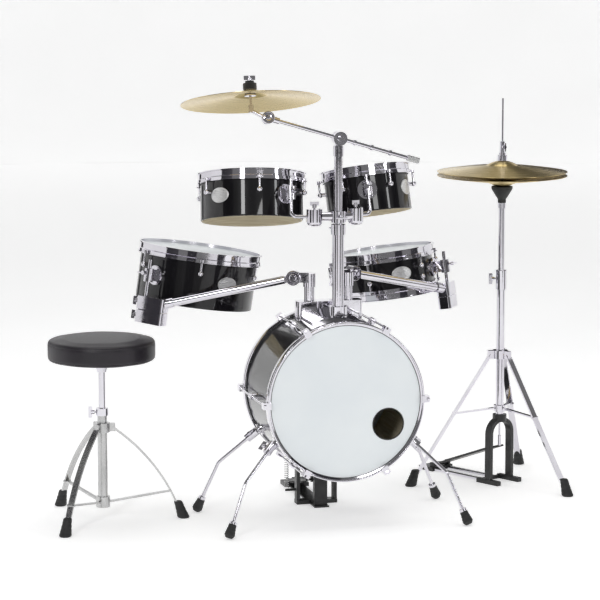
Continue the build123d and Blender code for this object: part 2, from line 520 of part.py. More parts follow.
def bass_pedal():
    """Cast frame clamped to the rear hoop, sprung footboard, axle, beater and its pull."""
    y, z = PEDAL_AXLE
    posts_in = [Pos(PEDAL_X + s * 58, y, 0) * Box(11, 26, z + 14, align=(Align.CENTER, Align.CENTER, Align.MIN))
                for s in (-1, 1)]
    foot = Pos(PEDAL_X, y, 0) * Box(127, 34, 12, align=(Align.CENTER, Align.CENTER, Align.MIN))
    keel = Pos(PEDAL_X, 300, 0) * Box(46, 330, 5, align=(Align.CENTER, Align.CENTER, Align.MIN))
    heel = Pos(PEDAL_X, PEDAL_HEEL[0] + 22, 0) * Box(78, 60, 13, align=(Align.CENTER, Align.CENTER, Align.MIN))
    ears = [Pos(PEDAL_X + s * 27, PEDAL_HEEL[0], 0) * Box(8, 18, 27, align=(Align.CENTER, Align.CENTER, Align.MIN))
            for s in (-1, 1)]
    neck = Pos(PEDAL_X, 178, 0) * Box(40, 62, 12, align=(Align.CENTER, Align.CENTER, Align.MIN))
    jaw = Pos(PEDAL_X, 158, 10) * Box(40, 20, 136, align=(Align.CENTER, Align.CENTER, Align.MIN))
    lip = Pos(PEDAL_X, 171, 130) * Box(30, 8, 18, align=(Align.CENTER, Align.CENTER, Align.MIN))
    hoop_room = rod((0, 100, BASS_Z), (0, 200, BASS_Z), BASS_HOOP_R + 0.05)
    spring_pin = rod((PEDAL_X - 96, y, 44), (PEDAL_X - 60, y, 44), 4)
    frame = fused(*posts_in, foot, keel, heel, *ears, neck, jaw - hoop_room, lip - hoop_room, spring_pin)
    frame -= rod((PEDAL_X - 80, y, z), (PEDAL_X + 80, y, z), 6 + FIT)
    frame -= rod((PEDAL_X - 40, PEDAL_HEEL[0], PEDAL_HEEL[1]), (PEDAL_X + 40, PEDAL_HEEL[0], PEDAL_HEEL[1]), 3.5 + FIT)
    add("pedal_frame", frame)
    toe = Vector(PEDAL_X, y - 24, 78)
    back = Vector(PEDAL_X, *PEDAL_HEEL)
    board = bar(tuple(back + (toe - back).normalized() * 17), tuple(toe), 76, 7, (1, 0, 0))
    hinge = rod((PEDAL_X - 22.7, *PEDAL_HEEL), (PEDAL_X + 22.7, *PEDAL_HEEL), 6)
    stop = bar(tuple(toe - (toe - back).normalized() * 14), tuple(toe), 40, 16, (1, 0, 0))
    pin = rod((PEDAL_X - 31, *PEDAL_HEEL), (PEDAL_X + 31, *PEDAL_HEEL), 3.5)
    bridge = bar(tuple(back), tuple(back + (toe - back).normalized() * 20), 44, 7, (1, 0, 0))
    add("pedal_footboard", fused(board, hinge, stop, pin, bridge))
    AXES["pedal_board"] = (back, Vector(1, 0, 0))
    axle = rod((PEDAL_X - 92, y, z), (PEDAL_X + 66, y, z), 6)
    hub = rod((PEDAL_X - 14, y, z), (PEDAL_X + 14, y, z), 15)
    cam = rod((PEDAL_X - 6, y, z), (PEDAL_X + 6, y, z), PEDAL_CAM_R - 2)
    lean = radians(31)
    shaft_dir = Vector(0, sin(lean), cos(lean))
    base = Vector(PEDAL_X, y, z)
    shaft = rod(tuple(base - shaft_dir * 24), tuple(base + shaft_dir * 172), 4)
    face = Vector(0, -cos(lean), sin(lean))
    ball = base + shaft_dir * 165
    beater = rod(tuple(ball - face * 18), tuple(ball + face * 18), 22)
    crank = Pos(PEDAL_X - 88, y + 4, z) * Box(6, 44, 16)
    spring = rod((PEDAL_X - 88, y + 14, 150), (PEDAL_X - 88, y + 14, z - 6), 3)
    add("pedal_beater", fused(axle, hub, cam, shaft, fillet(beater.edges(), 5), crank, spring))
    AXES["pedal_beater"] = (base, Vector(1, 0, 0))


# ---------------------------------------------------------------- hi-hat stand
HAT_HUB_Z, HAT_BRACE_Z = 410.0, 238.0
ARCH_TOP = 201.0


def hat_point(reach, across, height):
    """Point on the hi-hat stand: reach along the footboard's direction, across to its left."""
    d = plan(HAT_BOARD_ANGLE)
    return Vector(HAT_X, HAT_Y, height) + d * reach + Vector(-d.Y, d.X, 0) * across


def tripod(x, y, angles, hub, brace, spread, width, bow=0.0):
    """Three flat legs with a pair of braces each, as separate solids round a stand's tube."""
    parts = []
    for angle in angles:
        out = plan(angle)
        side = Vector(-out.Y, out.X, 0)
        top = Vector(x, y, hub[1]) + out * hub[0]
        foot = Vector(x, y, 24) + out * (spread - 12)
        if bow:
            mid = (top + foot) * 0.5 + Vector(out.X * bow, out.Y * bow, bow * 0.9)
            path = ThreePointArc(top, mid, foot)
            section = Plane(origin=path @ 0, x_dir=side, z_dir=path % 0) * Rectangle(width, 6)
            leg = sweep(section, path)
            join = path @ brace[2]
        else:
            leg = bar(tuple(top), tuple(foot), width, 6, tuple(side))
            join = top + (foot - top) * brace[2]
        start = Vector(x, y, brace[1]) + out * brace[0]
        inner = (start - join).normalized()
        link = bar(tuple(join + inner * 3.2), tuple(start), 13, 5, tuple(side))
        pin = rod(tuple(join - side * (width / 2 + 3)), tuple(join + side * (width / 2 + 3)), 3.5)
        parts.append(fused(leg, link, pin))
    return parts


def rubber_feet(x, y, angles, spread, boot_h=52.0, top_r=12.0, low_r=19.0):
    """Tapered rubber feet, each pushed over the end of a leg."""
    feet = []
    for angle in angles:
        out = plan(angle)
        ground = Vector(x, y, 0) + out * spread
        upper = Vector(x, y, boot_h) + out * (spread - 20)
        feet.append(loft([Plane(origin=upper) * Circle(top_r), Plane(origin=ground) * Circle(low_r)]))
    return feet


def hihat_stand():
    """Tube, tripod, arch, footboard and the sliding upper tube with the two cymbals."""
    c = Vector(HAT_X, HAT_Y, 0)

    def up(z):
        return (HAT_X, HAT_Y, z)

    lower = fused(rod(up(219), up(640), 12.7), rod(up(616), up(676), 17), rod(up(397), up(423), 24),
                  rod(up(228), up(248), 19))
    hub = c + Vector(0, 0, HAT_HUB_Z)
    ears = [bar(tuple(hub + plan(a) * 18), tuple(hub + plan(a) * 40), 16, 26, (-plan(a).Y, plan(a).X, 0))
            for a in HAT_LEG_ANGLES]
    knob = wing_bolt((HAT_X - 16.5, HAT_Y, 650), (-1, 0, 0), 16, (0, 0, 1))
    body = fused(lower, *ears, knob) - rod(up(200), up(700), 9.5 + FIT)
    legs = tripod(HAT_X, HAT_Y, HAT_LEG_ANGLES, (32, HAT_HUB_Z), (19, HAT_BRACE_Z, 0.475), HAT_SPREAD, 20)
    feet = rubber_feet(HAT_X, HAT_Y, HAT_LEG_ANGLES, HAT_SPREAD)
    legs = [leg - body - Compound(feet) for leg in legs]
    add("hihat_lower_tube", body)
    add("hihat_tripod", *legs)
    add("hihat_feet", *feet)
    arch_side = plan(HAT_BOARD_ANGLE + 90)
    hoop = FilletPolyline(hat_point(0, -47, 3), hat_point(0, -46, ARCH_TOP), hat_point(0, 46, ARCH_TOP),
                          hat_point(0, 47, 3), radius=43)
    section = Plane(origin=hoop @ 0, x_dir=plan(HAT_BOARD_ANGLE), z_dir=hoop % 0) * Rectangle(24, 12)
    uprights = [sweep(section, hoop)]
    for s in (-1, 1):
        uprights.append(bar(tuple(hat_point(-46, s * 47, 7)), tuple(hat_point(46, s * 47, 7)), 16, 14,
                            tuple(arch_side)))
    crown = rod(up(196), up(218.9), 22)
    rails = [rod(tuple(hat_point(40, s * 30, 6)), tuple(hat_point(262, s * 30, 6)), 4.5) for s in (-1, 1)]
    cross = bar(tuple(hat_point(40, -50, 6)), tuple(hat_point(40, 50, 6)), 12, 10, tuple(plan(HAT_BOARD_ANGLE)))
    heel = Plane(origin=hat_point(282, 0, 0), x_dir=plan(HAT_BOARD_ANGLE), z_dir=(0, 0, 1)) * Box(
        62, 92, 13, align=(Align.CENTER, Align.CENTER, Align.MIN))
    lugs = [Plane(origin=hat_point(262, s * 34, 0), x_dir=plan(HAT_BOARD_ANGLE), z_dir=(0, 0, 1)) * Box(
        18, 8, 27, align=(Align.CENTER, Align.CENTER, Align.MIN)) for s in (-1, 1)]
    pivot_a, pivot_b = hat_point(262, -40, 20), hat_point(262, 40, 20)
    arch = fused(*uprights, crown, *rails, cross, heel, *lugs) - rod(up(100), up(240), 7)
    arch -= rod(tuple(pivot_a), tuple(pivot_b), 3.5 + FIT)
    add("hihat_arch", arch)
    toe, back = hat_point(14, 0, 112), hat_point(262, 0, 20)
    reach = (toe - back).normalized()
    side = tuple(arch_side)
    board = fused(bar(tuple(back + reach * 16), tuple(toe), 68, 6, side),
                  bar(tuple(back), tuple(back + reach * 20), 56, 6, side),
                  rod(tuple(hat_point(262, -29.6, 20)), tuple(hat_point(262, 29.6, 20)), 6),
                  rod(tuple(hat_point(262, -38, 20)), tuple(hat_point(262, 38, 20)), 3.5))
    add("hihat_footboard", board)
    AXES["hihat_board"] = (back, Vector(*side) * -1)
    upper = tube(up(345), up(888), 9.5, 5.0)
    add("hihat_upper_tube", fused(upper, tube(up(872), up(889), 12.5, 5.0)))
    cup = turned([(5, 889.2), (13, 889.2), (13, 900), (21, 912), (33, 932), (33, 940), (5, 940)],
                 Plane(origin=(HAT_X, HAT_Y, 0)))
    add("hihat_seat_cup", cup)
    low_cymbal = cymbal(Plane(origin=(HAT_X, HAT_Y, 974.5), z_dir=(0, 0, -1)), HAT_R, 6.3, 19.0, 44.0, 13.6)
    add("hihat_bottom_cymbal", low_cymbal)
    add("hihat_top_cymbal", cymbal(Plane(origin=(HAT_X, HAT_Y, 985.5)), HAT_R, 6.3, 19.0, 44.0, 13.6))
    pull = fused(rod(up(118), up(1214), HAT_ROD_R), rod(up(1020.9), up(1036), 15), rod(up(1036), up(1044), 11),
                 rod(up(1044), up(1079), 8.5), wing_bolt((HAT_X, HAT_Y - 8, 1064), (0, -1, 0), 15, (0, 0, 1), 26),
                 rod(up(1006), up(1021), 6.0), rod(up(1003), up(1018.2), 6.0), rod(up(1001), up(1010), 12),
                 rod(up(118), up(150), 5.5))
    add("hihat_rod", pull)
    AXES["hihat"] = (c, Vector(0, 0, 1))


# ---------------------------------------------------------------- throne
def throne():
    """Round padded seat on a height rod in a tripod tube."""
    def up(z):
        return (THRONE_X, THRONE_Y, z)

    seat = rod(up(SEAT_LOW), up(SEAT_HIGH), SEAT_R)
    add("throne_seat", fillet(seat.edges(), 14))
    plate = rod(up(SEAT_LOW - 4), up(SEAT_LOW - 0.05), 90)
    socket = turned([(0, 446), (14, 446), (24, SEAT_LOW - 3), (0, SEAT_LOW - 3)],
                    Plane(origin=(THRONE_X, THRONE_Y, 0)))
    add("throne_stem", fused(plate, socket, rod(up(120), up(450), 10)))
    lock = fused(tube(up(316.4), up(338), 19, 10 + FIT), wing_bolt((THRONE_X - 18.5, THRONE_Y, 327), (-1, 0, 0), 15,
                                                                 (0, 0, 1)))
    add("throne_height_lock", lock)
    hubs = fused(rod(up(70), up(316), 14.5), rod(up(266), up(294), 23), rod(up(40), up(72), 21))
    ears = [bar(tuple(Vector(*up(280)) + plan(a) * 18), tuple(Vector(*up(280)) + plan(a) * 38), 15, 24,
                (-plan(a).Y, plan(a).X, 0)) for a in THRONE_LEG_ANGLES]
    core = fused(hubs, *ears) - rod(up(30), up(400), 10 + FIT)
    feet = rubber_feet(THRONE_X, THRONE_Y, THRONE_LEG_ANGLES, THRONE_SPREAD)
    legs = tripod(THRONE_X, THRONE_Y, THRONE_LEG_ANGLES, (30, 280), (20, 56, 0.80), THRONE_SPREAD, 18, 18)
    legs = [leg - core - Compound(feet) for leg in legs]
    add("throne_tripod", core, *legs)
    add("throne_feet", *feet)
    AXES["throne"] = (Vector(*up(0)), Vector(0, 0, 1))


# ---------------------------------------------------------------- assembly
def build():
    flat, hardware, outer = bass_drum()
    add("bass_hardware", *hardware, *spur_brackets(outer))
    post_base(outer)
    posts()
    tom_clamp()
    for name, values in TOMS.items():
        top_tom(name, **values)
    floor = side_drum("floor_tom", 177.8, 160.0, (-333.8, 349.9, 690.0), (0.1427, 0.0176, 0.9896), (-0.822, -0.569),
                      35.0, 628.0, [45 + 60 * i for i in range(6)])
    add("floor_tom_hoop_and_lugs", *floor[2])
    snare = side_drum("snare", 153.0, 127.0, (290.6, 457.1, 669.0), (-0.1137, 0.0826, 0.99), (0.8453, -0.5342),
                      45.0, 622.0, [30 + 60 * i for i in range(6)], True)
    strainer, lever = snare_strainer(snare[1])
    add("snare_hoops_and_lugs", *snare[2], snare[0] * strainer)
    add("snare_strainer_lever", snare[0] * lever)
    AXES["strainer"] = (snare[0].from_local_coords(Vector(-STRAINER_R - 5, 0, -20)), snare[0].y_dir * -1)
    for side, (plane, _, _, grip, up), z in (("left", floor, 628.0), ("right", snare, 622.0)):
        arm_post(side)
        arm(side, grip, up, z)
    boom_and_crash()
    bass_pedal()
    hihat_stand()
    throne()


def recentre():
    """Put the middle of the footprint at the origin with the lowest point at height 0."""
    box = Compound([s for shape in NODES.values() for s in shape.solids()]).bounding_box()
    return Vector(-(box.min.X + box.max.X) / 2, -(box.min.Y + box.max.Y) / 2, -box.min.Z)


build()
SHIFT = recentre()
os.makedirs("parts", exist_ok=True)
for node, shape in NODES.items():
    export_step(shape.moved(Location(SHIFT)), f"parts/{node}.step")
print(len(NODES), "nodes, shift", SHIFT)
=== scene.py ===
# %% [markdown]
# # A compact drum kit, piece by piece
# This lesson dresses a packed drum kit: bass drum, two rack toms, floor tom, snare, a boom with a crash
# cymbal, a hi-hat stand, a bass pedal and a round throne. The frame already knows where every part is
# and how it moves, so each step only gives a part its real surface and finish.

# %% Load the frame
import json
import math

import bmesh
import bpy
import numpy as np
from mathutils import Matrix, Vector


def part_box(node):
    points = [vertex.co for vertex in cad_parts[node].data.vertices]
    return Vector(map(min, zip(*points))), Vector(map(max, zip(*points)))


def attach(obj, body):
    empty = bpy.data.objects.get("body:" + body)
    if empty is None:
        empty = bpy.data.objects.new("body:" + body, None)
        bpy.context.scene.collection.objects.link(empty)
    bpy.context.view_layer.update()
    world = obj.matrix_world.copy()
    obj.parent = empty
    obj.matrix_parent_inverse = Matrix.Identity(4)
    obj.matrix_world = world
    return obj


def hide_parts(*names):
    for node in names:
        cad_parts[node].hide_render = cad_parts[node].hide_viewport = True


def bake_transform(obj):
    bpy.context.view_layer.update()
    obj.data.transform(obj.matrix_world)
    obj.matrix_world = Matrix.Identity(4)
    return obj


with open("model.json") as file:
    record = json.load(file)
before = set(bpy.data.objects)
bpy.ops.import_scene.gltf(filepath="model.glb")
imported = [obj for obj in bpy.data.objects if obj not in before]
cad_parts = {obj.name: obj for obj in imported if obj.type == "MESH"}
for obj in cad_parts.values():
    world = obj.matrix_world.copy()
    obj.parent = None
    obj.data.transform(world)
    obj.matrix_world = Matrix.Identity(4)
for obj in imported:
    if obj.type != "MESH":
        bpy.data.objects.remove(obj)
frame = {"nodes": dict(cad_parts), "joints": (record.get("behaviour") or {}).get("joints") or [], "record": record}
nodes = frame["nodes"]
joints = {joint["name"]: joint for joint in frame["joints"]}
body_of_node = {n: b for b, members in frame["record"]["behaviour"]["bodies"].items() for n in members}
slot_of_node = {part["node"]: part["material_slot"] for part in frame["record"]["subparts"]}
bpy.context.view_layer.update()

# %% [markdown]
# ## Helpers for surfaces
# A drum kit is mostly turned and bent metal, so two surfaces do most of the work: a profile turned about
# an axis, and a circle carried along a path. Both are grids of points worked out by numpy in one go.


# %% Vectors and measuring
def unit(v):
    """The vector divided by its length."""
    v = np.asarray(v, float)
    return v / np.linalg.norm(v)


def square_to(axis):
    """Two unit vectors square to the axis and to each other; the first leans upward, or along x."""
    axis = unit(axis)
    lean = np.array([0.0, 0.0, 1.0]) if abs(axis[2]) <= 0.95 else np.array([1.0, 0.0, 0.0])
    first = unit(lean - axis * (lean @ axis))
    return first, np.cross(axis, first)


def circle(axis, count):
    """Unit circle about an axis: cos a times one square vector plus sin a times the other."""
    first, second = square_to(axis)
    a = np.linspace(0, 2 * np.pi, count, endpoint=False)
    return np.cos(a)[:, None] * first + np.sin(a)[:, None] * second


def capped(rings, line):
    """Rings of points with a pole added at each end, at the first and the last point of the middle line."""
    poles = [np.repeat(line[i][None, None], rings.shape[1], axis=1) for i in (0, -1)]
    return np.concatenate([poles[0], rings, poles[1]])


def points_of(node):
    """All corners of a CAD node as one array."""
    mesh = nodes[node].data
    flat = np.empty(len(mesh.vertices) * 3)
    mesh.vertices.foreach_get("co", flat)
    return flat.reshape(-1, 3)


def middle(node):
    """Centre of a CAD node's box."""
    low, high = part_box(node)
    return (np.array(low) + np.array(high)) / 2


def along(node, axis):
    """Lowest and highest place of a node along an axis through the origin."""
    reach = points_of(node) @ unit(axis)
    return reach.min(), reach.max()


def radius_about(node, centre, axis):
    """Largest distance of a node's corners from a line."""
    offset = points_of(node) - np.asarray(centre)
    offset -= np.outer(offset @ unit(axis), unit(axis))
    return np.linalg.norm(offset, axis=1).max()


# %% Surfaces on a grid
def grid_piece(name, points, closed_rows=False, closed_columns=True, faces_slot=None):
    """Quads between neighbours in a grid of shape (rows, columns, 3), merged where points meet."""
    rows, columns = points.shape[:2]
    row = np.arange(rows if closed_rows else rows - 1)
    column = np.arange(columns if closed_columns else columns - 1)
    r, c = np.meshgrid(row, column, indexing="ij")
    r2, c2 = (r + 1) % rows, (c + 1) % columns
    here, next_row = r * columns, r2 * columns
    quads = np.stack([here + c, here + c2, next_row + c2, next_row + c], -1).reshape(-1, 4)
    mesh = bpy.data.meshes.new(name)
    mesh.from_pydata(points.reshape(-1, 3).tolist(), [], quads.tolist())
    u = np.stack([c, c + 1, c + 1, c], -1) / columns
    v = np.stack([r, r, r + 1, r + 1], -1) / rows
    layer = mesh.uv_layers.new(name="grid")
    layer.data.foreach_set("uv", np.stack([u, v], -1).reshape(-1).astype(np.float32))
    if faces_slot is not None:
        mesh.polygons.foreach_set("material_index", np.asarray(faces_slot)[r.reshape(-1)].astype(np.int32))
    return tidy(name, mesh)


SHARP_ANGLE = math.radians(32)


def tidy(name, mesh, turn_out=True):
    """Merge doubles, turn normals outward, shade smooth, and keep sharp edges crisp."""
    bm = bmesh.new()
    bm.from_mesh(mesh)
    bmesh.ops.remove_doubles(bm, verts=bm.verts, dist=1e-6)
    bmesh.ops.dissolve_degenerate(bm, edges=bm.edges, dist=1e-7)
    if turn_out:
        bmesh.ops.recalc_face_normals(bm, faces=bm.faces)
    for face in bm.faces:
        face.smooth = True
    for edge in bm.edges:
        edge.smooth = len(edge.link_faces) == 2 and edge.calc_face_angle(0.0) < SHARP_ANGLE
    bm.to_mesh(mesh)
    bm.free()
    piece = bpy.data.objects.new(name, mesh)
    bpy.context.scene.collection.objects.link(piece)
    return piece


def lathe(name, profile, centre, axis, segments=128, closed=True, faces_slot=None):
    """Turned shape: centre + axis * height + radius * (cos a, sin a) in the plane square to the axis."""
    profile = np.asarray(profile, float)
    middles = np.asarray(centre) + profile[:, 1, None] * unit(axis)
    points = profile[:, 0, None, None] * circle(axis, segments) + middles[:, None, :]
    return grid_piece(name, points, closed_rows=closed, faces_slot=faces_slot)


PIPE_LEAN = np.array([0.31, 0.17, 0.93])


def pipe(name, path, radius, segments=20):
    """Round bar: a circle of the radius carried along the path, with its ends closed by centre points."""
    path = np.asarray(path, float)
    radius = np.broadcast_to(np.asarray(radius, float), (len(path),))
    run = np.gradient(path, axis=0)
    run /= np.linalg.norm(run, axis=1)[:, None]
    first = PIPE_LEAN - run * (run @ PIPE_LEAN)[:, None]
    first /= np.linalg.norm(first, axis=1)[:, None]
    second = np.cross(run, first)
    a = np.linspace(0, 2 * np.pi, segments, endpoint=False)
    ring = np.cos(a)[None, :, None] * first[:, None] + np.sin(a)[None, :, None] * second[:, None]
    return grid_piece(name, capped(path[:, None] + radius[:, None, None] * ring, path))


def cross_bar(name, spot, across, half, radius):
    """Short round bar centred on a spot, reaching half its length each way along a direction."""
    return pipe(name, spot + np.outer([-half, 0.0, half], across), radius, 8)


def joined(name, pieces):
    """Several pieces as one piece with one mesh."""
    bm = bmesh.new()
    for piece in pieces:
        bm.from_mesh(piece.data)
    mesh = bpy.data.meshes.new(name)
    bm.to_mesh(mesh)
    bm.free()
    for piece in pieces:
        bpy.data.objects.remove(piece)
    result = bpy.data.objects.new(name, mesh)
    bpy.context.scene.collection.objects.link(result)
    return result


def fit(piece, material, body, slot, *stands_for):
    """Give a piece its finish, let it ride on a body and say which CAD nodes it stands for."""
    for one in material if isinstance(material, (list, tuple)) else [material]:
        piece.data.materials.append(one)
    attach(piece, body)
    if stands_for:
        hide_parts(*stands_for)
    return piece


print("surface helpers ready")

# %% [markdown]
# ## Finishes
# Every finish is a Principled shader fed by small procedural patterns.


# %% Material helpers
def shader(name, **sockets):
    """New material whose Principled shader has the given constant sockets."""
    material = bpy.data.materials.new(name)
    material.use_nodes = True
    principled = material.node_tree.nodes["Principled BSDF"]
    for socket, value in sockets.items():
        principled.inputs[socket.replace("_", " ")].default_value = value
    return material, material.node_tree, principled


def noise(tree, scale, detail=3.0, stretch=(1, 1, 1)):
    """Fractal noise on Object coordinates, stretched along the axes."""
    place = tree.nodes.new("ShaderNodeTexCoord")
    mapping = tree.nodes.new("ShaderNodeMapping")
    mapping.inputs["Scale"].default_value = stretch
    texture = tree.nodes.new("ShaderNodeTexNoise")
    texture.inputs["Scale"].default_value = scale
    texture.inputs["Detail"].default_value = detail
    tree.links.new(place.outputs["Object"], mapping.inputs["Vector"])
    tree.links.new(mapping.outputs["Vector"], texture.inputs["Vector"])
    return texture.outputs["Fac"]


def ramp(tree, value, stops):
    """Colour ramp through (position, grey or colour) stops."""
    node = tree.nodes.new("ShaderNodeValToRGB")
    for i, (place, colour) in enumerate(stops):
        stop = node.color_ramp.elements[i] if i < 2 else node.color_ramp.elements.new(place)
        stop.position = place
        stop.color = (*colour, 1) if isinstance(colour, tuple) else (colour, colour, colour, 1)
    tree.links.new(value, node.inputs["Fac"])
    return node.outputs["Color"]


def feed(tree, principled, socket, value, stops):
    """Drive a socket of the shader by a pattern read through a colour ramp."""
    tree.links.new(ramp(tree, value, stops), principled.inputs[socket])


def bump(tree, principled, height, distance, strength=1.0):
    """Raise the surface by a height pattern, in metres."""
    node = tree.nodes.new("ShaderNodeBump")
    node.inputs["Strength"].default_value = strength
    node.inputs["Distance"].default_value = distance
    tree.links.new(height, node.inputs["Height"])
    tree.links.new(node.outputs["Normal"], principled.inputs["Normal"])


print("material helpers ready")


# %% Metals
def polished_chrome():
    """Mirror plating: fine haze in the roughness and the faint ripple of buffing."""
    material, tree, p = shader("polished_chrome", Metallic=1.0)
    feed(tree, p, "Roughness", noise(tree, 60, 4), [(0.3, 0.035), (0.75, 0.10)])
    feed(tree, p, "Base Color", noise(tree, 9, 2), [(0.3, (0.64, 0.62, 0.67)), (0.7, (0.74, 0.73, 0.77))])
    bump(tree, p, noise(tree, 140, 2), 0.00006, 0.35)
    return material


def satin_steel():
    """Dull plated steel with fine drawn streaks along the height."""
    material, tree, p = shader("satin_steel", Metallic=1.0)
    streaks = noise(tree, 300, 3, (1, 1, 0.06))
    feed(tree, p, "Roughness", streaks, [(0.3, 0.20), (0.75, 0.34)])
    feed(tree, p, "Base Color", noise(tree, 14, 3), [(0.3, 0.48), (0.7, 0.62)])
    bump(tree, p, streaks, 0.00005, 0.4)
    return material


def cymbal_bronze():
    """Lathed bronze: rings by radius from the piece's own UV, soft tonal bands, brushed highlights."""
    material, tree, p = shader("cymbal_bronze", Metallic=1.0, Anisotropic=0.9, Anisotropic_Rotation=0.25)
    uv = tree.nodes.new("ShaderNodeUVMap")
    uv.uv_map = "grid"
    stretch = tree.nodes.new("ShaderNodeMapping")
    stretch.inputs["Scale"].default_value = (1.5, 420, 1)
    rings = tree.nodes.new("ShaderNodeTexNoise")
    rings.inputs["Scale"].default_value = 1.0
    rings.inputs["Detail"].default_value = 4.0
    tree.links.new(uv.outputs["UV"], stretch.inputs["Vector"])
    tree.links.new(stretch.outputs["Vector"], rings.inputs["Vector"])
    tone = ramp(tree, rings.outputs["Fac"], [(0.28, (0.44, 0.33, 0.13)), (0.55, (0.66, 0.52, 0.25)),
                                             (0.75, (0.84, 0.71, 0.41))])
    tree.links.new(tone, p.inputs["Base Color"])
    feed(tree, p, "Roughness", rings.outputs["Fac"], [(0.3, 0.22), (0.7, 0.34)])
    tangent = tree.nodes.new("ShaderNodeTangent")
    tangent.direction_type = "UV_MAP"
    tangent.uv_map = "grid"
    tree.links.new(tangent.outputs["Tangent"], p.inputs["Tangent"])
    bump(tree, p, rings.outputs["Fac"], 0.00012, 0.5)
    return material


def cast_black():
    """Black powder coat on cast metal: a fine orange-peel skin with slightly rubbed high spots."""
    material, tree, p = shader("cast_black", Metallic=0.0)
    feed(tree, p, "Base Color", noise(tree, 30, 4), [(0.3, 0.010), (0.8, 0.030)])
    feed(tree, p, "Roughness", noise(tree, 90, 3), [(0.3, 0.28), (0.7, 0.46)])
    bump(tree, p, noise(tree, 700, 3), 0.00012, 0.6)
    return material


print("metals described")


# %% Lacquer, film, rubber, felt
def black_lacquer():
    """Piano-black lacquer: near-black base under a clear coat with the slightest waviness."""
    material, tree, p = shader("black_lacquer", Coat_Weight=0.85, Coat_Roughness=0.02, Roughness=0.3,
                               Specular_IOR_Level=0.1)
    feed(tree, p, "Base Color", noise(tree, 5, 2),
         [(0.3, (0.003, 0.003, 0.004)), (0.7, (0.007, 0.006, 0.008))])
    bump(tree, p, noise(tree, 22, 2), 0.0002, 0.12)
    return material


def cream_inside():
    """Unlacquered inner ply: pale maple with long soft grain round the shell."""
    material, tree, p = shader("cream_inside", Roughness=0.55)
    grain = noise(tree, 40, 5, (0.25, 0.25, 6))
    feed(tree, p, "Base Color", grain, [(0.25, (0.62, 0.53, 0.36)), (0.75, (0.83, 0.76, 0.60))])
    bump(tree, p, grain, 0.0001, 0.5)
    return material


def white_film():
    """Coated white drumhead: cool white with a fine sprayed texture."""
    material, tree, p = shader("white_film", Coat_Weight=0.15, Coat_Roughness=0.25)
    feed(tree, p, "Base Color", noise(tree, 6, 3), [(0.3, (0.80, 0.845, 0.87)), (0.7, (0.85, 0.89, 0.905))])
    feed(tree, p, "Roughness", noise(tree, 120, 2), [(0.3, 0.34), (0.7, 0.46)])
    bump(tree, p, noise(tree, 1500, 2), 0.00003, 0.3)
    return material


def moulded_rubber():
    """Black rubber: dull, slightly dusty, with a fine moulded grain."""
    material, tree, p = shader("moulded_rubber")
    feed(tree, p, "Base Color", noise(tree, 25, 4), [(0.3, 0.008), (0.8, 0.024)])
    feed(tree, p, "Roughness", noise(tree, 60, 3), [(0.3, 0.48), (0.7, 0.66)])
    bump(tree, p, noise(tree, 900, 2), 0.0001, 0.5)
    return material


def pressed_felt(name, dark, light):
    """Wool felt: matted fibres as fine noise with a soft sheen."""
    material, tree, p = shader(name, Roughness=0.95, Sheen_Weight=0.5, Sheen_Roughness=0.5)
    fibres = noise(tree, 900, 5)
    feed(tree, p, "Base Color", fibres, [(0.3, dark), (0.7, light)])
    bump(tree, p, fibres, 0.0005, 0.8)
    return material


def seat_vinyl():
    """Soft vinyl: pebbled cells for the grain and a low satin shine, black with a plum cast."""
    material, tree, p = shader("seat_vinyl", Coat_Weight=0.08, Coat_Roughness=0.35)
    place = tree.nodes.new("ShaderNodeTexCoord")
    cells = tree.nodes.new("ShaderNodeTexVoronoi")
    cells.inputs["Scale"].default_value = 620
    tree.links.new(place.outputs["Object"], cells.inputs["Vector"])
    feed(tree, p, "Base Color", noise(tree, 12, 3),
         [(0.3, (0.006, 0.004, 0.008)), (0.7, (0.012, 0.008, 0.014))])
    feed(tree, p, "Roughness", cells.outputs["Distance"], [(0.1, 0.52), (0.6, 0.40)])
    bump(tree, p, cells.outputs["Distance"], 0.00018, 0.6)
    return material


def badge_silver():
    """Brushed nickel plate of the small oval shell badges."""
    material, tree, p = shader("badge_silver", Metallic=0.85)
    streaks = noise(tree, 500, 3, (0.1, 0.1, 3))
    feed(tree, p, "Base Color", streaks, [(0.3, 0.55), (0.7, 0.78)])
    feed(tree, p, "Roughness", streaks, [(0.3, 0.26), (0.7, 0.40)])
    bump(tree, p, streaks, 0.00004, 0.4)
    return material


CHROME, STEEL, BRONZE, CAST = polished_chrome(), satin_steel(), cymbal_bronze(), cast_black()
LACQUER, CREAM, FILM, RUBBER = black_lacquer(), cream_inside(), white_film(), moulded_rubber()
FELT = pressed_felt("black_felt", 0.008, 0.03)
VINYL, BADGE = seat_vinyl(), badge_silver()
FINISH = {"black_lacquer": LACQUER, "white_film": FILM, "chrome": CHROME, "satin_steel": STEEL,
          "black_cast": CAST, "rubber": RUBBER, "cymbal_bronze": BRONZE, "black_felt": FELT,
          "black_plastic": RUBBER, "seat_vinyl": VINYL}
print("finishes", len(FINISH))

# %% [markdown]
# ## Camera, light and floor
# A long lens keeps the stands upright. Four soft boxes and a pale round backdrop give the chrome broad
# white reflections, and dark cards that only reflections see give it the black lines that make plated
# metal look like metal. The front wall is for the camera alone, so views from behind are pale too.

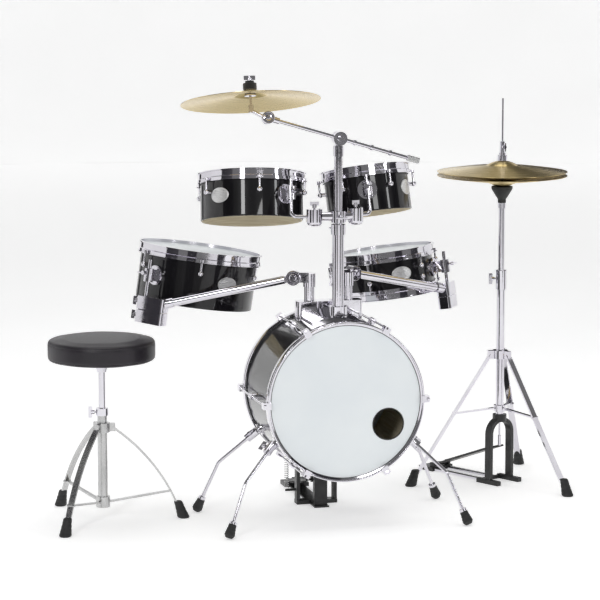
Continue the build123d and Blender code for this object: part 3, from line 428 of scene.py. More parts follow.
# %% Camera
CAMERA_TURN, CAMERA_RISE = math.radians(-14.287), math.radians(8.323)
CAMERA_DISTANCE = 8.15
LENS = 164.5
bass_centre = middle("bass_shell")
aim = Vector(bass_centre) + Vector((-0.0775, 0.085, 0.269))
back = Vector((math.sin(CAMERA_TURN) * math.cos(CAMERA_RISE),
               -math.cos(CAMERA_TURN) * math.cos(CAMERA_RISE), math.sin(CAMERA_RISE)))
camera_data = bpy.data.cameras.new("camera")
camera_data.lens = LENS
camera_data.sensor_width = 36.0
camera_data.clip_end = 100
camera = bpy.data.objects.new("camera", camera_data)
camera.location = aim + back * CAMERA_DISTANCE
camera.rotation_euler = back.to_track_quat("Z", "Y").to_euler()
bpy.context.scene.collection.objects.link(camera)
bpy.context.scene.camera = camera


# %% Light, backdrop and cards
def soft_box(name, place, aim_at, width, height, power, colour=(1, 1, 1)):
    """Rectangular area light that faces a point."""
    data = bpy.data.lights.new(name, "AREA")
    data.shape, data.size, data.size_y, data.energy, data.color = "RECTANGLE", width, height, power, colour
    light = bpy.data.objects.new(name, data)
    light.location = place
    light.rotation_euler = (Vector(place) - Vector(aim_at)).to_track_quat("Z", "Y").to_euler()
    bpy.context.scene.collection.objects.link(light)


def card(name, centre, width, height, turn, material):
    c, s = math.cos(turn), math.sin(turn)
    x = np.array([-1, 1, 1, -1]) * width / 2
    z = np.array([0, 0, 1, 1]) * height
    corners = np.stack([centre[0] + x * c, centre[1] + x * s, z], -1)
    mesh = bpy.data.meshes.new(name)
    mesh.from_pydata(corners.tolist(), [], [[0, 1, 2, 3]])
    mesh.materials.append(material)
    item = bpy.data.objects.new(name, mesh)
    item.visible_camera = item.visible_diffuse = item.visible_shadow = False
    bpy.context.scene.collection.objects.link(item)


def studio_sector(name, profile, first, last, material):
    """Part of the round backdrop: radius and height along the profile, turned between two angles."""
    a = np.radians(np.linspace(first, last, 73))
    r, z = profile[:, :1], np.repeat(profile[:, 1:], len(a), axis=1)
    item = grid_piece(name, np.stack([r * np.cos(a), r * np.sin(a), z], -1), closed_columns=False)
    item.data.materials.append(material)
    return item


def studio():
    """Round floor and walls in pale paper, soft boxes, dark cards and a dim white sky."""
    paper, tree, p = shader("studio_paper", Roughness=0.9)
    p.inputs["Specular IOR Level"].default_value = 0.1
    feed(tree, p, "Base Color", noise(tree, 2, 2), [(0.3, 0.90), (0.7, 0.93)])
    p.inputs["Emission Color"].default_value = (1, 1, 1, 1)
    p.inputs["Emission Strength"].default_value = 0.43
    wall = np.linspace(0, np.pi / 2, 16)
    bend = np.stack([11 + 3 * np.sin(wall), 3 - 3 * np.cos(wall)], -1)
    profile = np.concatenate([bend, [[14, 6], [14, 9]]])
    studio_sector("studio_floor", np.stack([np.linspace(0, 11, 12), np.zeros(12)], -1), 0, 360, paper)
    studio_sector("studio_sweep", profile, -20, 200, paper)
    front_wall = studio_sector("studio_front_wall", profile, 200, 340, paper)
    front_wall.visible_glossy = front_wall.visible_diffuse = front_wall.visible_shadow = False
    black, _, _ = shader("studio_flag", Base_Color=(0.02, 0.018, 0.024, 1), Roughness=0.8)
    for name, x, y, width, height, turn in (
            ("flag_left", -3.6, -1.6, 2.4, 3.2, 66), ("flag_right", 3.9, -1.9, 2.4, 3.2, -66),
            ("flag_back", 1.9, 3.2, 0.9, 3.0, 12), ("flag_back_left", -1.7, 3.2, 0.9, 3.0, -12),
            ("flag_front_left", -2.5, -4.1, 1.4, 2.4, -28), ("flag_front_right", 2.1, -4.4, 1.5, 2.4, 20)):
        card(name, (x, y), width, height, math.radians(turn), black)
    soft_box("key", (-3.6, -5.2, 3.2), (0, 0, 0.7), 0.9, 2.8, 90)
    soft_box("front", (0.6, -9.6, 3.6), (0, 0, 0.6), 2.2, 1.2, 60)
    soft_box("fill", (4.2, -4.6, 2.6), (0, 0, 0.6), 0.6, 2.6, 40, (0.97, 0.98, 1.0))
    soft_box("top", (0.0, 0.4, 4.6), (0, 0, 0.4), 3.6, 3.0, 78)
    world = bpy.data.worlds.new("sky")
    world.use_nodes = True
    world.node_tree.nodes["Background"].inputs["Color"].default_value = (1, 1, 1, 1)
    world.node_tree.nodes["Background"].inputs["Strength"].default_value = 0.20
    bpy.context.scene.world = world
    bpy.context.scene.view_settings.view_transform = "Standard"


studio()
print("camera at", [round(v, 3) for v in camera.location])

# %% [markdown]
# ## Metal and cast fittings
# The lugs, clamps, tubes and cast frames already have their true shape in the frame, as loose triangles.
# A merged copy of each is given small rounded edges, because on real plating and castings it is the
# rounded edge that catches the light.


# %% Rounded copies of fittings
ROUND_EDGE = 0.0005


def dressed(node, material):
    """Merged copy of a CAD node with rounded edges, standing for that node."""
    mesh = nodes[node].data.copy()
    mesh.materials.clear()
    if "custom_normal" in mesh.attributes:
        mesh.attributes.remove(mesh.attributes["custom_normal"])
    piece = tidy(node + "_dressed", mesh, turn_out=False)
    bevel = piece.modifiers.new("round", "BEVEL")
    bevel.width = ROUND_EDGE
    bevel.segments = 2
    bevel.limit_method = "ANGLE"
    bevel.angle_limit = math.radians(38)
    bevel.harden_normals = True
    bevel.use_clamp_overlap = True
    fit(piece, material, body_of_node[node], slot_of_node[node], node)


MADE_ELSEWHERE = {"throne_seat", "bass_hoops"}
MADE_ELSEWHERE |= {n for n in nodes if n.endswith(("_shell", "_head", "_heads", "_cymbal"))}
MADE_ELSEWHERE |= {n for n in nodes if "feet" in n or "spur_foot" in n}
for node in sorted(set(nodes) - MADE_ELSEWHERE):
    dressed(node, FINISH[slot_of_node[node]])
print("fittings dressed", len(nodes) - len(MADE_ELSEWHERE))

# %% [markdown]
# ## Shells and heads
# A shell is a tube with a rounded outer edge and a bevelled bearing edge; the outside is lacquered and
# the inside is bare ply, so the turned profile carries two finishes. A head is a tight film that rolls
# over the bearing edge into its flesh hoop.

# %% Where each drum is
DRUMS = {"tom12": "tom12_swivel", "tom10": "tom10_swivel", "floor_tom": "floor_tom_height",
         "snare": "snare_height"}


def drum_axis(name):
    """The drum's own axis, taken from the joint that slides or turns it on its rod."""
    return unit(joints[DRUMS[name]]["axis"]) if name in DRUMS else np.array([0.0, -1.0, 0.0])


def shell_profile(outer, wall, low, high, edge=0.0022):
    """Outline of a shell's wall, from outside low round to inside low, with rounded and bevelled rims."""
    inner = outer - wall
    a = np.linspace(0, np.pi / 2, 5)
    top = np.stack([outer - edge + edge * np.cos(a), high - edge + edge * np.sin(a)], -1)
    bottom = np.stack([inner + edge - edge * np.cos(a), low + edge - edge * np.sin(a)], -1)
    bottom_out = np.stack([outer - edge + edge * np.cos(a[::-1]), low + edge - edge * np.sin(a[::-1])], -1)
    steps = np.linspace(low + 2 * edge, high - 2 * edge, 9)
    outside = np.stack([np.full(9, outer), steps], -1)
    inside = np.stack([np.full(9, inner), steps[::-1]], -1)
    bevel = np.array([[inner + edge, high - 0.5 * edge], [inner, high - 1.6 * edge]])
    profile = np.concatenate([bottom_out, outside, top, bevel, inside, bottom])
    lacquered = len(bottom_out) + 9 + len(top)
    return profile, np.arange(len(profile)) >= lacquered


def make_shell(name):
    """Shell of one drum, lacquered outside and bare inside."""
    node, axis = name + "_shell", drum_axis(name)
    centre = middle(node)
    low, high = along(node, axis)
    outer = radius_about(node, centre, axis)
    offset = centre @ axis
    wall = 0.0078 if name == "bass" else 0.006
    profile, bare = shell_profile(outer, wall, low - offset, high - offset)
    piece = lathe(name + "_shell_wood", profile, centre, axis, 160, faces_slot=bare.astype(int))
    return fit(piece, [LACQUER, CREAM], body_of_node[node], "black_lacquer", node)


def head_profile(outer, skirt, film):
    """Film from the middle, a rolled collar and the flesh hoop's skirt, as one closed outline."""
    a = np.linspace(0, np.pi / 2, 7)
    roll = 0.0035
    over = np.stack([outer - roll + roll * np.sin(a), film - roll + roll * np.cos(a)], -1)
    flat = np.stack([np.linspace(0.0, outer - roll - 0.001, 12), np.full(12, film)], -1)
    under = np.array([[outer, skirt], [outer - 0.0022, skirt], [outer - 0.0024, film - 0.006]])
    inside = np.stack([np.linspace(outer - roll - 0.002, 0.0, 12), np.full(12, film - 0.0006)], -1)
    return np.concatenate([flat, over, under, inside])


for drum in ("bass", "tom12", "tom10", "floor_tom", "snare"):
    make_shell(drum)


def make_head(name, node, sense):
    """One head; sense is +1 on the axis' side of the drum and -1 on the other."""
    axis = drum_axis(name) * sense
    centre = middle(name + "_shell")
    shell_low, shell_high = along(name + "_shell", axis)
    half = (shell_high - shell_low) / 2
    outer = radius_about(node, centre, axis) - 0.0001
    profile = head_profile(outer, half - 0.009, half + 0.0009)
    title = f"{node}_film" + ("" if sense > 0 else "_under")
    return lathe(title, profile, centre, axis, 160, closed=False)


for drum in ("tom12", "tom10", "floor_tom"):
    fit(make_head(drum, drum + "_head", 1), FILM, drum, "white_film", drum + "_head")
snare_films = joined("snare_films", [make_head("snare", "snare_heads", sense) for sense in (1, -1)])
fit(snare_films, FILM, "snare", "white_film", "snare_heads")
print("shells and heads made")

# %% [markdown]
# ## Bass drum front
# The front head has an off-centre port, so it is not a turned shape: its film is a grid that runs from
# the port's rim to the drum's rim, each ring a blend of the two circles. The port gets a dark rolled
# rim, and both thin hoops are turned with a rounded face.

# %% Bass heads and hoops
BASS_AXIS = drum_axis("bass")
bass_low, bass_high = along("bass_shell", BASS_AXIS)
bass_half = (bass_high - bass_low) / 2
bass_rim = radius_about("bass_front_head", bass_centre, BASS_AXIS) - 0.0001
port_opening = next(o for o in frame["record"]["physics"]["openings"] if o["name"] == "bass_port")
port_middle = np.mean(np.array(port_opening["box_m"]), axis=0)
PORT_RADIUS = 0.046


FILM_GAP = 0.0008


def between_circles(name, centre_in, radius_in, centre_out, radius_out, axis, height):
    """Flat film between two circles: point = blend of the inner and the outer circle at the same angle."""
    ring = circle(axis, 160)
    inner, outer = centre_in + radius_in * ring, centre_out + radius_out * ring
    t = np.linspace(0, 1, 14)[:, None, None]
    front = inner * (1 - t) + outer * t
    back_side = front[::-1] - axis * FILM_GAP
    return grid_piece(name, np.concatenate([front, back_side]) + axis * height, closed_rows=True)


def bass_front():
    """Front film with its port, its collar, and the port's rolled rim."""
    port = port_middle - BASS_AXIS * ((port_middle - bass_centre) @ BASS_AXIS)
    film = between_circles("film", port, PORT_RADIUS, bass_centre, bass_rim - 0.0035, BASS_AXIS,
                           bass_half + 0.0009)
    a = np.linspace(0, np.pi / 2, 7)
    collar = np.stack([bass_rim - 0.0035 + 0.0035 * np.sin(a), bass_half - 0.0026 + 0.0035 * np.cos(a)], -1)
    skirt = np.array([[bass_rim, bass_half - 0.009], [bass_rim - 0.002, bass_half - 0.009],
                      [bass_rim - 0.0022, bass_half - 0.004], [bass_rim - 0.0036, bass_half + 0.0002]])
    edge = lathe("edge", np.concatenate([collar, skirt]), bass_centre, BASS_AXIS, 160)
    fit(joined("bass_front_film", [film, edge]), FILM, "stands", "white_film", "bass_front_head")
    b = np.linspace(0, 2 * np.pi, 16, endpoint=False)
    rim = np.stack([PORT_RADIUS + 0.0004 + 0.0018 * np.cos(b), bass_half + 0.0008 + 0.0016 * np.sin(b)], -1)
    fit(lathe("bass_port_rim", rim, port, BASS_AXIS, 96), RUBBER, "stands", "rubber")


def bass_hoop(name, sense):
    """Thin pressed hoop with a rounded front lip, turned about the drum's axis."""
    axis = BASS_AXIS * sense
    outer = radius_about("bass_hoops", bass_centre, BASS_AXIS)
    a = np.linspace(0, np.pi, 9)
    front = bass_half + 0.0105
    lip = np.stack([outer - 0.0026 + 0.0026 * np.cos(a), front + 0.0016 * np.sin(a)], -1)
    inner = np.array([[outer - 0.0054, bass_half + 0.0035], [outer - 0.0098, bass_half + 0.0022],
                      [outer - 0.0098, bass_half + 0.0012], [outer - 0.0046, bass_half + 0.0012],
                      [outer - 0.0046, bass_half - 0.0178], [outer - 0.0006, bass_half - 0.018]])
    wall = np.array([[outer, bass_half - 0.017], [outer, bass_half - 0.004]])
    return lathe(name, np.concatenate([lip, inner, wall]), bass_centre, axis, 200)


bass_front()
# Painted shade: a thin black ring laid just inside the front hoop stands for the dark shaded gap between the head
# and the hoop.
a_ring = np.linspace(0, 2 * np.pi, 12, endpoint=False)
shade_ring_radius = radius_about("bass_hoops", bass_centre, BASS_AXIS) - 0.0106
shade_ring_profile = np.stack([shade_ring_radius + 0.0012 * np.cos(a_ring), bass_half + 0.0016 + 0.0008 * np.sin(a_ring)], -1)
fit(lathe("bass_shade_ring", shade_ring_profile, bass_centre, BASS_AXIS, 200), RUBBER, "stands", "rubber")
rear_film = make_head("bass", "bass_rear_head", -1)
fit(rear_film, FILM, "stands", "white_film", "bass_rear_head")
both_hoops = joined("bass_hoops_turned", [bass_hoop("h1", 1), bass_hoop("h2", -1)])
fit(both_hoops, CHROME, "stands", "chrome", "bass_hoops")
print("bass drum front made")

# %% [markdown]
# ## Cymbals
# A cymbal is turned from a cast disc: a shallow bow, a raised bell and a thin rim. The profile is two
# arcs, and the lathe's rings are left to the finish, which reads the distance from the middle.


# %% Turned cymbals
def cymbal(node, axis, body):
    """Height over radius: the bow falls as a power of the distance and the bell adds a sine dome."""
    axis = unit(axis)
    centre = middle(node)
    points = points_of(node)
    reach = (points - centre) @ axis
    offset = (points - centre) - np.outer(reach, axis)
    distance = np.linalg.norm(offset, axis=1)
    rim, hole = distance.max(), distance.min()
    rim_height = reach[distance > rim - 0.002].min()
    top = reach.max() - rim_height
    r = np.concatenate([np.linspace(hole, 0.06, 28), np.linspace(0.0625, rim - 0.001, 60), [rim]])
    bow = 0.0196 * (1 - np.clip((r - 0.044) / (rim - 0.044), 0, 1) ** 1.25)
    bell_part = np.clip((0.049 - r) / 0.049, 0, 1)
    bell = (top - 0.0208) * np.sin(np.clip(bell_part * 1.18, 0, 1) * np.pi / 2) ** 0.9
    height = rim_height + bow + bell
    thick = 0.0012
    upper = np.stack([r, height + thick], -1)
    lower = np.stack([r[::-1], height[::-1]], -1)
    piece = lathe(node + "_turned", np.concatenate([upper, lower]), centre, axis, 200)
    fit(piece, BRONZE, body, "cymbal_bronze", node)


hat_axis = np.array([0.0, 0.0, 1.0])
cymbal("crash_cymbal", joints["crash_spin"]["axis"], "crash")
cymbal("hihat_top_cymbal", hat_axis, "hihat_rod")
cymbal("hihat_bottom_cymbal", -hat_axis, "hihat_upper")
print("cymbals made")

# %% [markdown]
# ## Rubber feet
# Each foot is a boot pushed over the leg's end: a tapered cone with moulded grooves, a rounded top lip
# and a wide flat sole. A spur's boot is turned about the slanted line of its leg and is flattened at
# the floor.


# %% Feet
def boot(name, top, sole, top_radius, sole_radius, grooves=4):
    """Rings between the top and the sole, the radius growing toward the floor, each ring level."""
    t = np.linspace(0, 1, 64)
    radius = top_radius + (sole_radius - top_radius) * t ** 1.25
    radius = radius - 0.0007 * (np.sin(t * grooves * 2 * np.pi) > 0.55) * (t > 0.12) * (t < 0.8)
    radius = np.where(t < 0.05, top_radius * (0.86 + 2.8 * t), radius)
    radius = np.where(t > 0.9, radius - 0.004 * ((t - 0.9) / 0.1) ** 2, radius)
    centre = np.asarray(top) * (1 - t)[:, None] + np.asarray(sole) * t[:, None]
    a = np.linspace(0, 2 * np.pi, 48, endpoint=False)
    ring = np.stack([np.cos(a), np.sin(a), np.zeros(48)], -1)
    return grid_piece(name, capped(centre[:, None] + radius[:, None, None] * ring, centre))


def foot_blocks(node, count):
    """Split a node's corners into separate feet at the widest gaps in their angle about the middle."""
    points = points_of(node)
    centre = points.mean(axis=0)
    angle = np.arctan2(points[:, 1] - centre[1], points[:, 0] - centre[0])
    order = np.argsort(angle)
    gaps = np.diff(np.concatenate([angle[order], [angle[order[0]] + 2 * np.pi]]))
    cuts = np.sort(np.argsort(gaps)[-count:])
    return [points[order[np.arange(a + 1, b + 1) % len(order)]] for a, b in
            zip(cuts, np.concatenate([cuts[1:], [cuts[0] + len(order)]]))]


def boots_for(node, count):
    """Boots for every foot of a node, from its sole and its top rings."""
    made = []
    for i, points in enumerate(foot_blocks(node, count)):
        low, high = points[:, 2].min(), points[:, 2].max()
        sole = points[points[:, 2] < low + 0.0005]
        top = points[points[:, 2] > high - 0.012]
        sole_centre, top_centre = (sole.min(0) + sole.max(0)) / 2, (top.min(0) + top.max(0)) / 2
        sole_radius = (sole[:, 0].max() - sole[:, 0].min()) / 2
        top_point = top_centre * [1, 1, 0] + [0, 0, high]
        sole_point = sole_centre * [1, 1, 0] + [0, 0, low]
        made.append(boot(f"{node}_boot{i}", top_point, sole_point, sole_radius * 0.66, sole_radius))
    fit(joined(node + "_boots", made), RUBBER, body_of_node[node], "rubber", node)


def spur_boot(node, grooves=5):
    """Turned boot on the slanted end of a spur: radius by distance down the leg, with moulded rings."""
    points = points_of(node)
    rod_points = points_of(node.replace("foot", "rod"))
    low = points[:, 2].min()
    lift = rod_points[:, 2] - rod_points[:, 2].min()
    bottom = rod_points[lift < 0.006].mean(0)
    shin = rod_points[(lift > 0.012) & (lift < 0.050)].mean(0)
    axis = unit(bottom - shin)
    reach = (points - bottom) @ axis
    start, end = reach.min(), reach.max()
    t = np.linspace(0, 1, 80)
    length = end - start
    wide = 0.0115 + 0.004 * np.clip(t / 0.68, 0, 1) ** 1.3
    taper = np.clip((t - 0.78) / 0.22, 0, 1)
    grooved = (np.sin(t * grooves * 2 * np.pi) > 0.5) * (t > 0.1) * (t < 0.72)
    radius = wide - 0.0056 * taper ** 1.2 - 0.0006 * grooved
    radius[0] = 0.0095
    centre = bottom + np.outer(start + t * length, axis)
    grid = capped(centre[:, None] + radius[:, None, None] * circle(axis, 48), centre)
    grid[..., 2] = np.maximum(grid[..., 2], low)
    fit(grid_piece(node + "_boot", grid), RUBBER, body_of_node[node], "rubber", node)


boots_for("hihat_feet", 3)
boots_for("throne_feet", 3)
for spur_node in sorted(n for n in nodes if n.startswith("spur_foot")):
    spur_boot(spur_node)
print("feet made")

# %% [markdown]
# ## Throne cushion
# The seat is a round slab of foam in vinyl: a flat padded top, a side band and a piped seam at both
# edges. Foam swells against its cover, so a slightly smaller slab is remeshed into even cells and blown
# up by the cloth solver; creases are eased, and a cap keeps every point close to where it started.


# %% Slab that the cover starts from
def seat_slab(centre, radius, low, high, edge):
    """Turned slab with rounded edges and a gently crowned top."""
    a = np.linspace(0, np.pi / 2, 7)
    inside = radius - edge
    r = np.linspace(0, inside, 24)
    crown = 0.004 * (1 - (r / radius) ** 2)
    lower = np.stack([r, np.full(24, low)], -1)
    low_edge = np.stack([inside + edge * np.sin(a), low + edge - edge * np.cos(a)], -1)[1:]
    high_edge = np.stack([inside + edge * np.cos(a), high - edge + edge * np.sin(a)], -1)
    upper = np.stack([r[::-1], high + crown[::-1] - crown[-1]], -1)[1:]
    profile = np.concatenate([lower, low_edge, high_edge, upper])
    return lathe("seat_slab", profile, centre, (0, 0, 1), 128, closed=False)


def eased(piece, move, rounds):
    """Iron creases: each point's movement goes halfway to the mean of its neighbours', round by round."""
    ends = np.empty(len(piece.data.edges) * 2, int)
    piece.data.edges.foreach_get("vertices", ends)
    first, second = ends.reshape(-1, 2).T
    degree = np.bincount(ends, minlength=len(move))[:, None]
    for _ in range(rounds):
        total = np.zeros_like(move)
        np.add.at(total, first, move[second])
        np.add.at(total, second, move[first])
        move = 0.5 * move + 0.5 * total / degree
    return move


def inflated(piece, voxel=0.005, pressure=2.5, cap=0.005):
    """Even cells, cloth under pressure without weight, creases eased, movement capped, one subdivision."""
    for other in bpy.context.selected_objects:
        other.select_set(False)
    bpy.context.view_layer.objects.active = piece
    piece.select_set(True)
    remesh = piece.modifiers.new("cells", "REMESH")
    remesh.mode = "VOXEL"
    remesh.voxel_size = voxel
    bpy.ops.object.modifier_apply(modifier="cells")
    count = len(piece.data.vertices)
    start = np.empty(count * 3)
    piece.data.vertices.foreach_get("co", start)
    cloth = piece.modifiers.new("cover", "CLOTH")
    cloth.settings.use_pressure = True
    cloth.settings.uniform_pressure_force = pressure
    cloth.settings.effector_weights.gravity = 0.0
    cloth.settings.tension_stiffness = 40
    cloth.settings.compression_stiffness = 40
    cloth.settings.bending_stiffness = 20
    cloth.point_cache.frame_start, cloth.point_cache.frame_end = 1, 20
    for moment in range(1, 21):
        bpy.context.scene.frame_set(moment)
    bpy.ops.object.modifier_apply(modifier="cover")
    bpy.context.scene.frame_set(1)
    swollen = np.empty(count * 3)
    piece.data.vertices.foreach_get("co", swollen)
    move = eased(piece, (swollen - start).reshape(-1, 3), 60)
    size = np.linalg.norm(move, axis=1)[:, None]
    move = move * np.minimum(1, cap / np.maximum(size, 1e-9))
    piece.data.vertices.foreach_set("co", (start.reshape(-1, 3) + move).reshape(-1))
    print("cushion swelled by up to", round(float(size.max()) * 1000, 1), "mm before the cap")
    smooth = piece.modifiers.new("smooth", "SUBSURF")
    smooth.levels = smooth.render_levels = 1
    bpy.ops.object.modifier_apply(modifier="smooth")
    piece.data.polygons.foreach_set("use_smooth", np.ones(len(piece.data.polygons), bool))
    return piece


# %% Swollen cushion and its piping
seat_low, seat_high = (np.array(v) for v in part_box("throne_seat"))
seat_middle = np.array([(seat_low[0] + seat_high[0]) / 2, (seat_low[1] + seat_high[1]) / 2, 0.0])
seat_radius = (seat_high[0] - seat_low[0]) / 2
slab = seat_slab(seat_middle, seat_radius - 0.005, seat_low[2] + 0.002, seat_high[2] - 0.006, 0.009)
cushion = inflated(slab)
cushion.name = "throne_cushion"


def pull_in(piece, height, depth, width):
    """Draw the cover in toward the middle along a ring, as a seam does: a bell-shaped pull by height."""
    count = len(piece.data.vertices)
    co = np.empty(count * 3)
    piece.data.vertices.foreach_get("co", co)
    co = co.reshape(-1, 3)
    flat = co[:, :2] - seat_middle[:2]
    reach = np.linalg.norm(flat, axis=1)[:, None]
    pull = depth * np.exp(-((co[:, 2:] - height) / width) ** 2) * (reach > seat_radius * 0.8)
    co[:, :2] = seat_middle[:2] + flat * (1 - pull / np.maximum(reach, 1e-6))
    piece.data.vertices.foreach_set("co", co.reshape(-1))


seam_heights = [seat_low[2] + 0.008, seat_high[2] - 0.0135]
for seam in seam_heights:
    pull_in(cushion, seam, 0.0012, 0.003)
fit(cushion, VINYL, "throne_seat", "seat_vinyl", "throne_seat")


def ring_at(piece, height):
    """Radius of the piece at a height, for each of 96 directions about the seat's middle."""
    co = np.array([v.co for v in piece.data.vertices])
    near = np.abs(co[:, 2] - height) < 0.004
    flat = co[near, :2] - seat_middle[:2]
    reach = np.linalg.norm(flat, axis=1)
    keep = reach > seat_radius * 0.8
    angle = np.arctan2(flat[keep, 1], flat[keep, 0])
    order = np.argsort(angle)
    a = np.linspace(-np.pi, np.pi, 97)[:-1]
    return a, np.interp(a, angle[order], reach[keep][order], period=2 * np.pi)


def piping(name, height, radius=0.0014):
    """Round welt sewn into the seam: a closed circle of tube that follows the cover's edge."""
    a, reach = ring_at(cushion, height)
    reach = np.full_like(reach, np.percentile(reach, 60)) - 0.0006
    b = np.linspace(0, 2 * np.pi, 10, endpoint=False)
    r = reach[:, None] + radius * np.cos(b)
    points = np.stack([seat_middle[0] + r * np.cos(a)[:, None], seat_middle[1] + r * np.sin(a)[:, None],
                       height + radius * np.sin(b) + 0 * r], -1)
    return grid_piece(name, points, closed_rows=True)


welts = joined("throne_piping", [piping("p1", seam_heights[0]), piping("p2", seam_heights[1])])
fit(welts, VINYL, "throne_seat", "seat_vinyl")
print("cushion made")

# %% [markdown]
# ## Badges
# Each drum wears one small oval plate with a raised rim and a few plain engraved lines. It is a polar
# grid laid on the shell's cylinder, so it hugs the curve, and the lines are real grooves in its height.


# %% Oval plates
def badge(name, turn, half_width=0.032, half_height=0.0225):
    """Polar grid on a cylinder: arc = a r cos t, height = b r sin t, lift = plate + rim - grooves."""
    node, axis = name + "_shell", drum_axis(name)
    centre = middle(node)
    outer = radius_about(node, centre, axis)
    toward = np.array(back)
    toward = unit(toward - axis * (toward @ axis))
    side = np.cross(axis, toward)
    r = np.concatenate([np.linspace(0, 0.86, 44), np.linspace(0.88, 1.0, 8), [1.0]])
    t = np.linspace(0, 2 * np.pi, 96, endpoint=False)
    arc = half_width * r[:, None] * np.cos(t) / outer + math.radians(turn)
    height = half_height * r[:, None] * np.sin(t)
    rim = 0.0007 * np.exp(-((r - 0.94) / 0.03) ** 2)
    grooves = 0.00045 * (np.abs((height / half_height * 4.5) % 1 - 0.5) < 0.16) * (r < 0.84)[:, None]
    lift = 0.0011 + rim[:, None] - grooves * (np.abs(height) < 0.62 * half_height)
    lift[-1] = -0.0003
    out = (outer + lift)[..., None] * (np.cos(arc)[..., None] * toward + np.sin(arc)[..., None] * side)
    piece = grid_piece(name + "_badge", centre + out + height[..., None] * axis)
    fit(piece, BADGE, name, "satin_steel")


for drum, turn in (("tom12", -37), ("tom10", 66), ("floor_tom", 34), ("snare", 18)):
    badge(drum, turn)
print("badges made")

# %% [markdown]
# ## Snare wires
# Sixteen coiled wires lie against the lower film between two end plates. Each is a thin tube whose radius
# ripples along its length, which reads as a coil at this size and stays light.


# %% Wires
COIL_RATE = 2600


def snare_wires():
    """Rows of rippled wires across the lower head, and the two plates they are soldered to."""
    axis = drum_axis("snare")
    centre = middle("snare_shell")
    low = along("snare_heads", axis)[0] - centre @ axis
    away = unit(middle("snare_strainer_lever") - centre)
    run = unit(away - axis * (away @ axis))
    across = np.cross(axis, run)
    plane = centre + axis * (low - 0.0016)
    s = np.linspace(-0.112, 0.112, 150)
    wires = [pipe("w", plane + across * shift + run * s[:, None], 0.0007 + 0.0003 * np.sin(s * COIL_RATE), 6)
             for shift in np.linspace(-0.019, 0.019, 16)]
    for end in (-1, 1):
        spot = plane + run * 0.116 * end
        wires.append(cross_bar("p", spot, across, 0.023, 0.0018))
    return joined("snare_wires", wires)


fit(snare_wires(), STEEL, "snare", "satin_steel")
print("snare wires made")

# %% [markdown]
# ## Pedal fittings
# The pull of the bass pedal is a short roller chain from the footboard's toe to the beater's hub, and a
# coil spring returns the beater. Both footboards carry raised ribs for grip.


# %% Chain, spring and ribs
def chain(name, start, end, pitch=0.008, wide=0.010):
    """Flat links end to end, every second one narrower, as a run of short rounded bars."""
    start, end = np.asarray(start, float), np.asarray(end, float)
    count = max(2, int(round(np.linalg.norm(end - start) / pitch)))
    side = np.array([1.0, 0.0, 0.0])
    step = (end - start) / count
    links = []
    for i in range(count):
        a, b = start + step * (i - 0.12), start + step * (i + 1.12)
        plate = np.array([a, (a + b) / 2, b])
        gap = wide / 2 - (0.0016 if i % 2 else 0.0)
        for s in (-1, 1):
            links.append(pipe("l", plate + side * gap * s, [0.0018, 0.0021, 0.0018], 8))
        links.append(cross_bar("r", start + step * i, side, wide / 2, 0.0017))
    return joined(name, links)


axle = np.array(joints["pedal_beater_swing"]["pos_m"])
hub_x = middle("pedal_footboard")[0]
axle[0] = hub_x
board_points = points_of("pedal_footboard")
toe_edge = board_points[board_points[:, 1] < board_points[:, 1].min() + 0.004]
toe_spot = np.array([hub_x, board_points[:, 1].min() + 0.001, toe_edge[:, 2].mean()])
hub_spot = axle + np.array([0, -0.0295, 0.0])
pull_chain = chain("pedal_chain", toe_spot, hub_spot)
pull_chain.data.materials.append(STEEL)
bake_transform(pull_chain)


def coil(name, start, end, coil_radius, wire, turns):
    """Helix: start + way * t + coil_radius * (cos, sin) of turns * t, swept by a thin circle."""
    start, end = np.asarray(start, float), np.asarray(end, float)
    t = np.linspace(0, 1, turns * 14)
    first, second = square_to(end - start)
    angle = 2 * np.pi * turns * t
    path = start + np.outer(t, end - start)
    path = path + coil_radius * (np.outer(np.cos(angle), first) + np.outer(np.sin(angle), second))
    return pipe(name, path, wire, 8)


beater_points = points_of("pedal_beater")
crank_x = beater_points[:, 0].min() + 0.003
spring_points = beater_points[beater_points[:, 2] < axle[2] - 0.03]
spring_y = spring_points[:, 1].mean()
spring_low = np.array([crank_x, spring_y, 0.048])
spring_high = np.array([crank_x, spring_y, axle[2] - 0.006])
spring = coil("pedal_spring", spring_low, spring_high, 0.0065, 0.0011, 26)
spring.data.materials.append(STEEL)
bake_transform(spring)


def board_ribs(name, node, joint, count=15):
    """Rounded cross ribs on a footboard's upper face, evenly spaced between heel and toe."""
    hinge, across = np.array(joints[joint]["pos_m"]), unit(joints[joint]["axis"])
    offset = points_of(node) - hinge
    flat = offset - np.outer(offset @ across, across)
    distance = np.linalg.norm(flat, axis=1)
    far = flat[distance > distance.max() - 0.012].mean(0)
    length, way = np.linalg.norm(far), unit(far)
    up = np.cross(way, across)
    up *= np.sign(up[2])
    reach = offset @ way
    board = offset[(reach > length * 0.35) & (reach < length * 0.9)]
    side = offset @ across
    # A board with corners only at its ends is measured from the far end instead.
    top = ((board if len(board) else offset[reach > length * 0.3]) @ up).max()
    middle_side = (side.max() + side.min()) / 2
    half = (side[reach > length * 0.3].max() - side.min()) * 0.40
    ribs = []
    for step in np.linspace(0.24, 0.93, count):
        spot = hinge + way * length * step + up * (top + 0.0002) + across * middle_side
        ribs.append(cross_bar("rib", spot, across, half, 0.0017))
    fit(joined(name, ribs), RUBBER, body_of_node[node], "rubber")


board_ribs("pedal_ribs", "pedal_footboard", "pedal_board_press")
board_ribs("hihat_ribs", "hihat_footboard", "hihat_board_press")
print("pedal fittings made")

# %% [markdown]
# ## Ratchets and grip
# An arm's tilting joint is two discs with teeth that bite into each other, drawn tight by a bolt. Its
# outer face gets a toothed rim, a raised ring and a bolt head. The boom's end has a knurled sleeve, cut
# by two crossing sets of helical grooves.


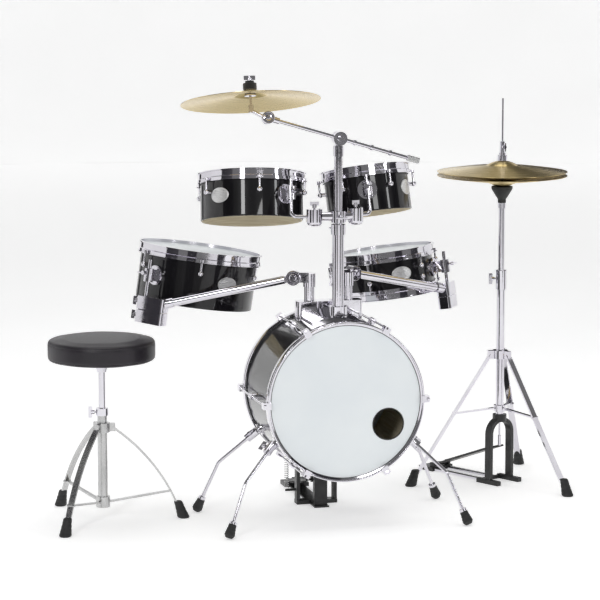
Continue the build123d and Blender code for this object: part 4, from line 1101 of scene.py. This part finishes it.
# %% Ratchet faces and the knurled grip
RATCHET_TEETH, HELICES, HELIX_RATE = 36, 30, 3000


def ratchet(name, joint, node, facing, radius):
    """Toothed rim, raised ring and hexagon bolt on the round face of a tilting joint."""
    axis = unit(joints[joint]["axis"]) * facing
    centre = np.array(joints[joint]["pos_m"])
    offset = points_of(node) - centre
    reach = offset @ axis
    distance = np.linalg.norm(offset - np.outer(reach, axis), axis=1)
    disc = (distance < radius * 1.02) & (distance > radius * 0.9)
    face = np.percentile(reach[disc], 99)
    a = np.linspace(0, 2 * np.pi, 216, endpoint=False)
    ring = circle(axis, len(a))
    tooth = 0.0007 * np.abs(np.sin(a * RATCHET_TEETH / 2))
    rings = np.array([(0.80, 0.0), (0.84, 0.0016), (0.97, 0.0016), (1.01, 0.0006), (1.01, -0.004),
                      (0.9, -0.004), (0.80, -0.001)]) * [radius, 1]
    spots = [(centre + (face + h) * axis, r + tooth * (r > radius)) for r, h in rings]
    rim = grid_piece("rim", np.stack([spot + r[:, None] * ring for spot, r in spots]), closed_rows=True)
    bolt = np.array([(0.0, 0.004), (0.26, 0.004), (0.33, 0.003), (0.33, -0.0005), (0.0, -0.0005)])
    boss = np.array([(0.36, 0.0008), (0.52, 0.0012), (0.56, 0.0004), (0.56, -0.0005), (0.36, -0.0005)])
    bolt, boss = bolt * [radius, 1], boss * [radius, 1]
    shift = centre + face * axis
    pieces = [rim, lathe("boss", boss, shift, axis, 64), lathe("bolt", bolt, shift, axis, 6, closed=False)]
    fit(joined(name, pieces), CHROME, body_of_node[node], "chrome")


ratchet("left_arm_ratchet", "left_arm_tilt", "left_arm", 1, 0.0215)
ratchet("right_arm_ratchet", "right_arm_tilt", "right_arm_post", -1, 0.0215)
ratchet("crash_ratchet", "crash_tilt", "crash_tilter", -1, 0.018)


def knurled(name, node, away, length, radius):
    """Grip sleeve whose radius rises on two crossing families of helices, which leaves small diamonds."""
    points = points_of(node)
    way = unit(away)
    reach = points @ way
    end = points[reach > reach.max() - 0.002].mean(0)
    h = np.linspace(-length, 0.0006, 90)
    a = np.linspace(0, 2 * np.pi, 120, endpoint=False)
    around, along_grip = HELICES * a[None], HELIX_RATE * h[:, None]
    cross = np.maximum(np.sin(around + along_grip), np.sin(around - along_grip))
    r = radius + 0.0003 * cross
    r[0], r[-1] = radius * 0.8, radius * 0.8
    line = end + h[:, None] * way
    grid = line[:, None] + r[..., None] * circle(way, len(a))
    fit(grid_piece(name, capped(grid, line)), STEEL, body_of_node[node], "satin_steel")


BOOM_SLOPE = math.radians(16.5)
boom_way = np.array([math.cos(BOOM_SLOPE), 0.0, -math.sin(BOOM_SLOPE)])
knurled("boom_grip", "boom_rod", boom_way, 0.037, 0.0088)
print("ratchets and grip made")

# %% [markdown]
# ## Hi-hat base rails
# Two plated bars tie the black arch to the heel plate and keep the board's hinge in line with the tube.
# They are straight pipes laid on the cast frame.


# %% Chrome rails of the hi-hat base
def base_rails():
    """Plated bars from the arch to the heel plate, one each side of the footboard."""
    press = joints["hihat_board_press"]
    hinge, across = np.array(press["pos_m"]), unit(press["axis"])
    stand = middle("hihat_lower_tube") * [1, 1, 0]
    heel = hinge * [1, 1, 0]
    heel = heel - across * ((heel - stand) @ across)
    way = unit(heel - stand)
    z = np.array([0, 0, 0.006])
    span = (heel - stand) @ way
    line = stand + np.outer([0.047, 0.15, span - 0.012], way) + z
    rails = [pipe("rail", line + across * side * 0.030, 0.0049) for side in (-1, 1)]
    fit(joined("hihat_base_rails", rails), CHROME, "stands", "chrome")


base_rails()
print("base rails made")
